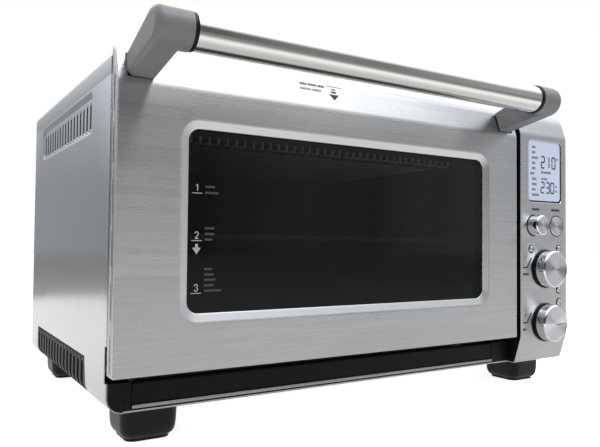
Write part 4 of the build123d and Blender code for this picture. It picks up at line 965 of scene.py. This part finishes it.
# Painted shade: thin black rings in the holes round the buttons stand for the shadowed gaps.
bm = bmesh.new()
for places, inner, outer in ((push_places, 10.15, 10.95), (tiny_places, 3.62, 4.3)):
    rim = [(inner, -1.2), (outer, -1.2), (outer, 0.02), (outer - 0.15, 0.1), (inner, 0.1), (inner, -1.2)]
    for place in places:
        turn(bm, rim, [], place, 48)
finish_piece(bm, "button_gap_shade_rings", [black_plastic], body="oven_body")
knob_side = [(0, 2.6), (17.8, 2.6), (18.15, 2.75), (18.3, 3.1), (18.3, 11.5), (18.2, 11.75), (17.15, 12.85),
             (16.8, 13.0)]
knob_face = [(16.3, 13.0), (16.0, 12.9), (15.7, 12.65), (8.0, 12.6), (0, 12.6)]
for node, place in zip(("knob_upper", "knob_lower"), knob_places):
    turned_piece(node, knob_side, knob_face, place)
# Painted reflection: a dark line in dark ink across the lower knob's face only, standing for a dark band
# reflected in it.
bm = bmesh.new()
add_bar(bm, (201.8, 61.6), (216.2, 61.6), 0.6, face_y - 12.62 * mm)
finish_piece(bm, "knob_painted_reflection_line", [ink], body="lower_knob")
raised_side = stem(-8.0, 2.0, 10.0) + [(10.0, 10.7), (9.9, 10.95), (9.05, 11.85), (8.7, 12.0)]
raised_face = [(8.3, 11.95), (7.6, 11.6), (4.0, 11.5), (0, 11.5)]
turned_piece("button_raised", raised_side, raised_face, push_places[0])
flush_side = stem(-9.8, 2.0, 10.0) + [(10.0, 0.1), (9.85, 0.4), (9.5, 0.6)]
turned_piece("button_flush", flush_side, [(9.0, 0.6), (8.6, 0.42), (4.0, 0.4), (0, 0.4)], push_places[1])
tiny_side = stem(-10.0, 1.5, 3.5) + [(3.5, 0.2), (3.3, 0.6), (2.7, 0.9)]
for index, place in enumerate(tiny_places, start=1):
    turned_piece("button_tiny_%d" % index, tiny_side, [(1.8, 0.8), (0.9, 0.55), (0, 0.5)], place, 40)


# Floor: a plain pale sheet under the oven, white to the eye, that keeps the soft shadow. The metal sees it
# bright beside the oven and dim further off, as it would a table under a window.
floor_mesh = bpy.data.meshes.new("floor")
floor_mesh.from_pydata([(-6, -6, 0), (6, -6, 0), (6, 6, 0), (-6, 6, 0)], [], [(0, 1, 2, 3)])
floor = new_object("floor", floor_mesh)
floor_paper, tree, shader = new_finish("floor paper")


def ray_masks(tree):
    """The light path's outputs, and a mask of what is seen in gloss or through glass."""
    rays = knot(tree, "ShaderNodeLightPath").outputs
    return rays, knot(tree, "ShaderNodeMath", {0: rays["Is Glossy Ray"], 1: rays["Is Transmission Ray"]},
                      operation="ADD", use_clamp=True).outputs[0]


rays, mirrored = ray_masks(tree)
spot = knot(tree, "ShaderNodeTexCoord").outputs["Object"]
depth = knot(tree, "ShaderNodeSeparateXYZ", {0: spot}).outputs["Y"]
near = between(tree, depth, 0.0, 1.0, -0.95, -0.45, "SMOOTHSTEP")
far = between(tree, depth, 0.0, 1.0, 1.25, 0.95, "SMOOTHSTEP")
ahead = between(tree, depth, 0.55, 1.1, -0.26, -0.48)
beside = between(tree, depth, 0.0, 0.18, -0.16, -0.08)
level = between(tree, reckon(tree, "MULTIPLY", near, far), 0.12, reckon(tree, "ADD", ahead, beside))
to_eye = reckon(tree, "MULTIPLY", rays["Is Camera Ray"], 0.8)
glow = reckon(tree, "ADD", to_eye, reckon(tree, "MULTIPLY", mirrored, level))
pale = blend_colours(tree, add_grain(tree)["Cloud"], (0.8, 0.8, 0.8), (0.82, 0.82, 0.82))
dim = knot(tree, "ShaderNodeMix", {0: mirrored, 6: pale, 7: (0.28, 0.28, 0.28, 1.0)},
           data_type="RGBA").outputs[2]
set_inputs(tree, shader, {
    "Base Color": dim,
    "Roughness": 0.9,
    "Specular IOR Level": 0.0,
    "Emission Color": (1.0, 1.0, 1.0, 1.0),
    "Emission Strength": glow,
})
floor_mesh.materials.append(floor_paper)


# Studio: a white surround for the eye, a dim room for the gloss with a bright ceiling, and soft lamps above
# the front and the back.
world = bpy.data.worlds.new("studio")
world.use_nodes = True
bpy.context.scene.world = world
tree = world.node_tree
tree.nodes.clear()
rays, mirrored = ray_masks(tree)
way = knot(tree, "ShaderNodeSeparateXYZ", {0: knot(tree, "ShaderNodeTexCoord").outputs["Generated"]}).outputs
low_edge = between(tree, way["X"], 0.44, 0.36, 0.2, 0.75)
high_edge = between(tree, way["X"], 0.8, 0.6, 0.2, 0.75)
front_rise = between(tree, way["Z"], 0.0, 1.0, low_edge, high_edge, "SMOOTHSTEP")
rear_rise = between(tree, way["Z"], 0.0, 1.0, 0.06, 0.6, "SMOOTHSTEP")
aside = between(tree, way["X"], 0.08, 0.5, 0.25, 0.85)
drape = knot(tree, "ShaderNodeTexNoise", {"W": way["X"], "Scale": 9.0, "Detail": 2.0},
             noise_dimensions="1D").outputs[0]
hung = reckon(tree, "MULTIPLY", aside, between(tree, drape, 0.75, 1.25, 0.3, 0.7))
behind = between(tree, way["Y"], 0.0, 1.0, -0.1, 0.3)
horizon = knot(tree, "ShaderNodeMix", {0: behind, 2: hung, 3: 0.36}).outputs[0]
rise = knot(tree, "ShaderNodeMix", {0: behind, 2: front_rise, 3: rear_rise}).outputs[0]
ceiling = between(tree, way["X"], 1.85, 1.75, 0.2, 0.75)
room = knot(tree, "ShaderNodeMix", {0: rise, 2: horizon, 3: ceiling}).outputs[0]
room_light = knot(tree, "ShaderNodeBackground", {"Color": (0.92, 0.96, 1.0, 1.0), "Strength": room})
fill_light = knot(tree, "ShaderNodeBackground", {"Color": (1.0, 1.0, 1.0, 1.0), "Strength": 0.55})
white = knot(tree, "ShaderNodeBackground", {"Color": (1.0, 1.0, 1.0, 1.0), "Strength": 1.0})
lit = knot(tree, "ShaderNodeMixShader", {0: mirrored, 1: fill_light.outputs[0], 2: room_light.outputs[0]})
shown = knot(tree, "ShaderNodeMixShader", {0: rays["Is Camera Ray"], 1: lit.outputs[0], 2: white.outputs[0]})
knot(tree, "ShaderNodeOutputWorld", {"Surface": shown.outputs[0]})


def soft_lamp(name, place, aim, width, height, power):
    """Soft rectangular lamp turned towards a point."""
    data = bpy.data.lights.new(name, "AREA")
    data.shape = "RECTANGLE"
    data.size = width
    data.size_y = height
    data.energy = power
    lamp = new_object(name, data)
    lamp.location = place
    lamp.rotation_euler = (Vector(aim) - Vector(place)).to_track_quat("-Z", "Y").to_euler()


soft_lamp("front_softbox", (0.35, -0.6, 1.7), (0.0, 0.0, 0.2), 1.6, 1.0, 14.0)
soft_lamp("back_softbox", (0.3, 1.1, 1.4), (0.0, 0.0, 0.2), 1.8, 1.1, 12.0)


# Camera: at the left front corner, a little above the middle of the door, tipped up slightly.
camera_data = bpy.data.cameras.new("camera")
camera_data.sensor_fit = "HORIZONTAL"
camera_data.sensor_width = 36.0
camera_data.lens = 37.76
camera = new_object("camera", camera_data)
yaw, pitch, roll = math.radians(31.98), math.radians(1.79), math.radians(0.54)
forward = Vector((math.sin(yaw) * math.cos(pitch), math.cos(yaw) * math.cos(pitch), math.sin(pitch)))
level = Vector((math.cos(yaw), -math.sin(yaw), 0.0))
upright = level.cross(forward)
right = math.cos(roll) * level + math.sin(roll) * upright
up = right.cross(forward)
facing = Matrix((right, up, -forward)).transposed()
camera_x, camera_reach, camera_height = -0.3497, 0.4107, 0.140
door_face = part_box("door_outer_panel")[0].y
place = Matrix.Translation((camera_x, door_face - camera_reach, camera_height))
camera.matrix_world = place @ facing.to_4x4()
bpy.context.scene.camera = camera
bpy.context.scene.view_settings.view_transform = "Standard"
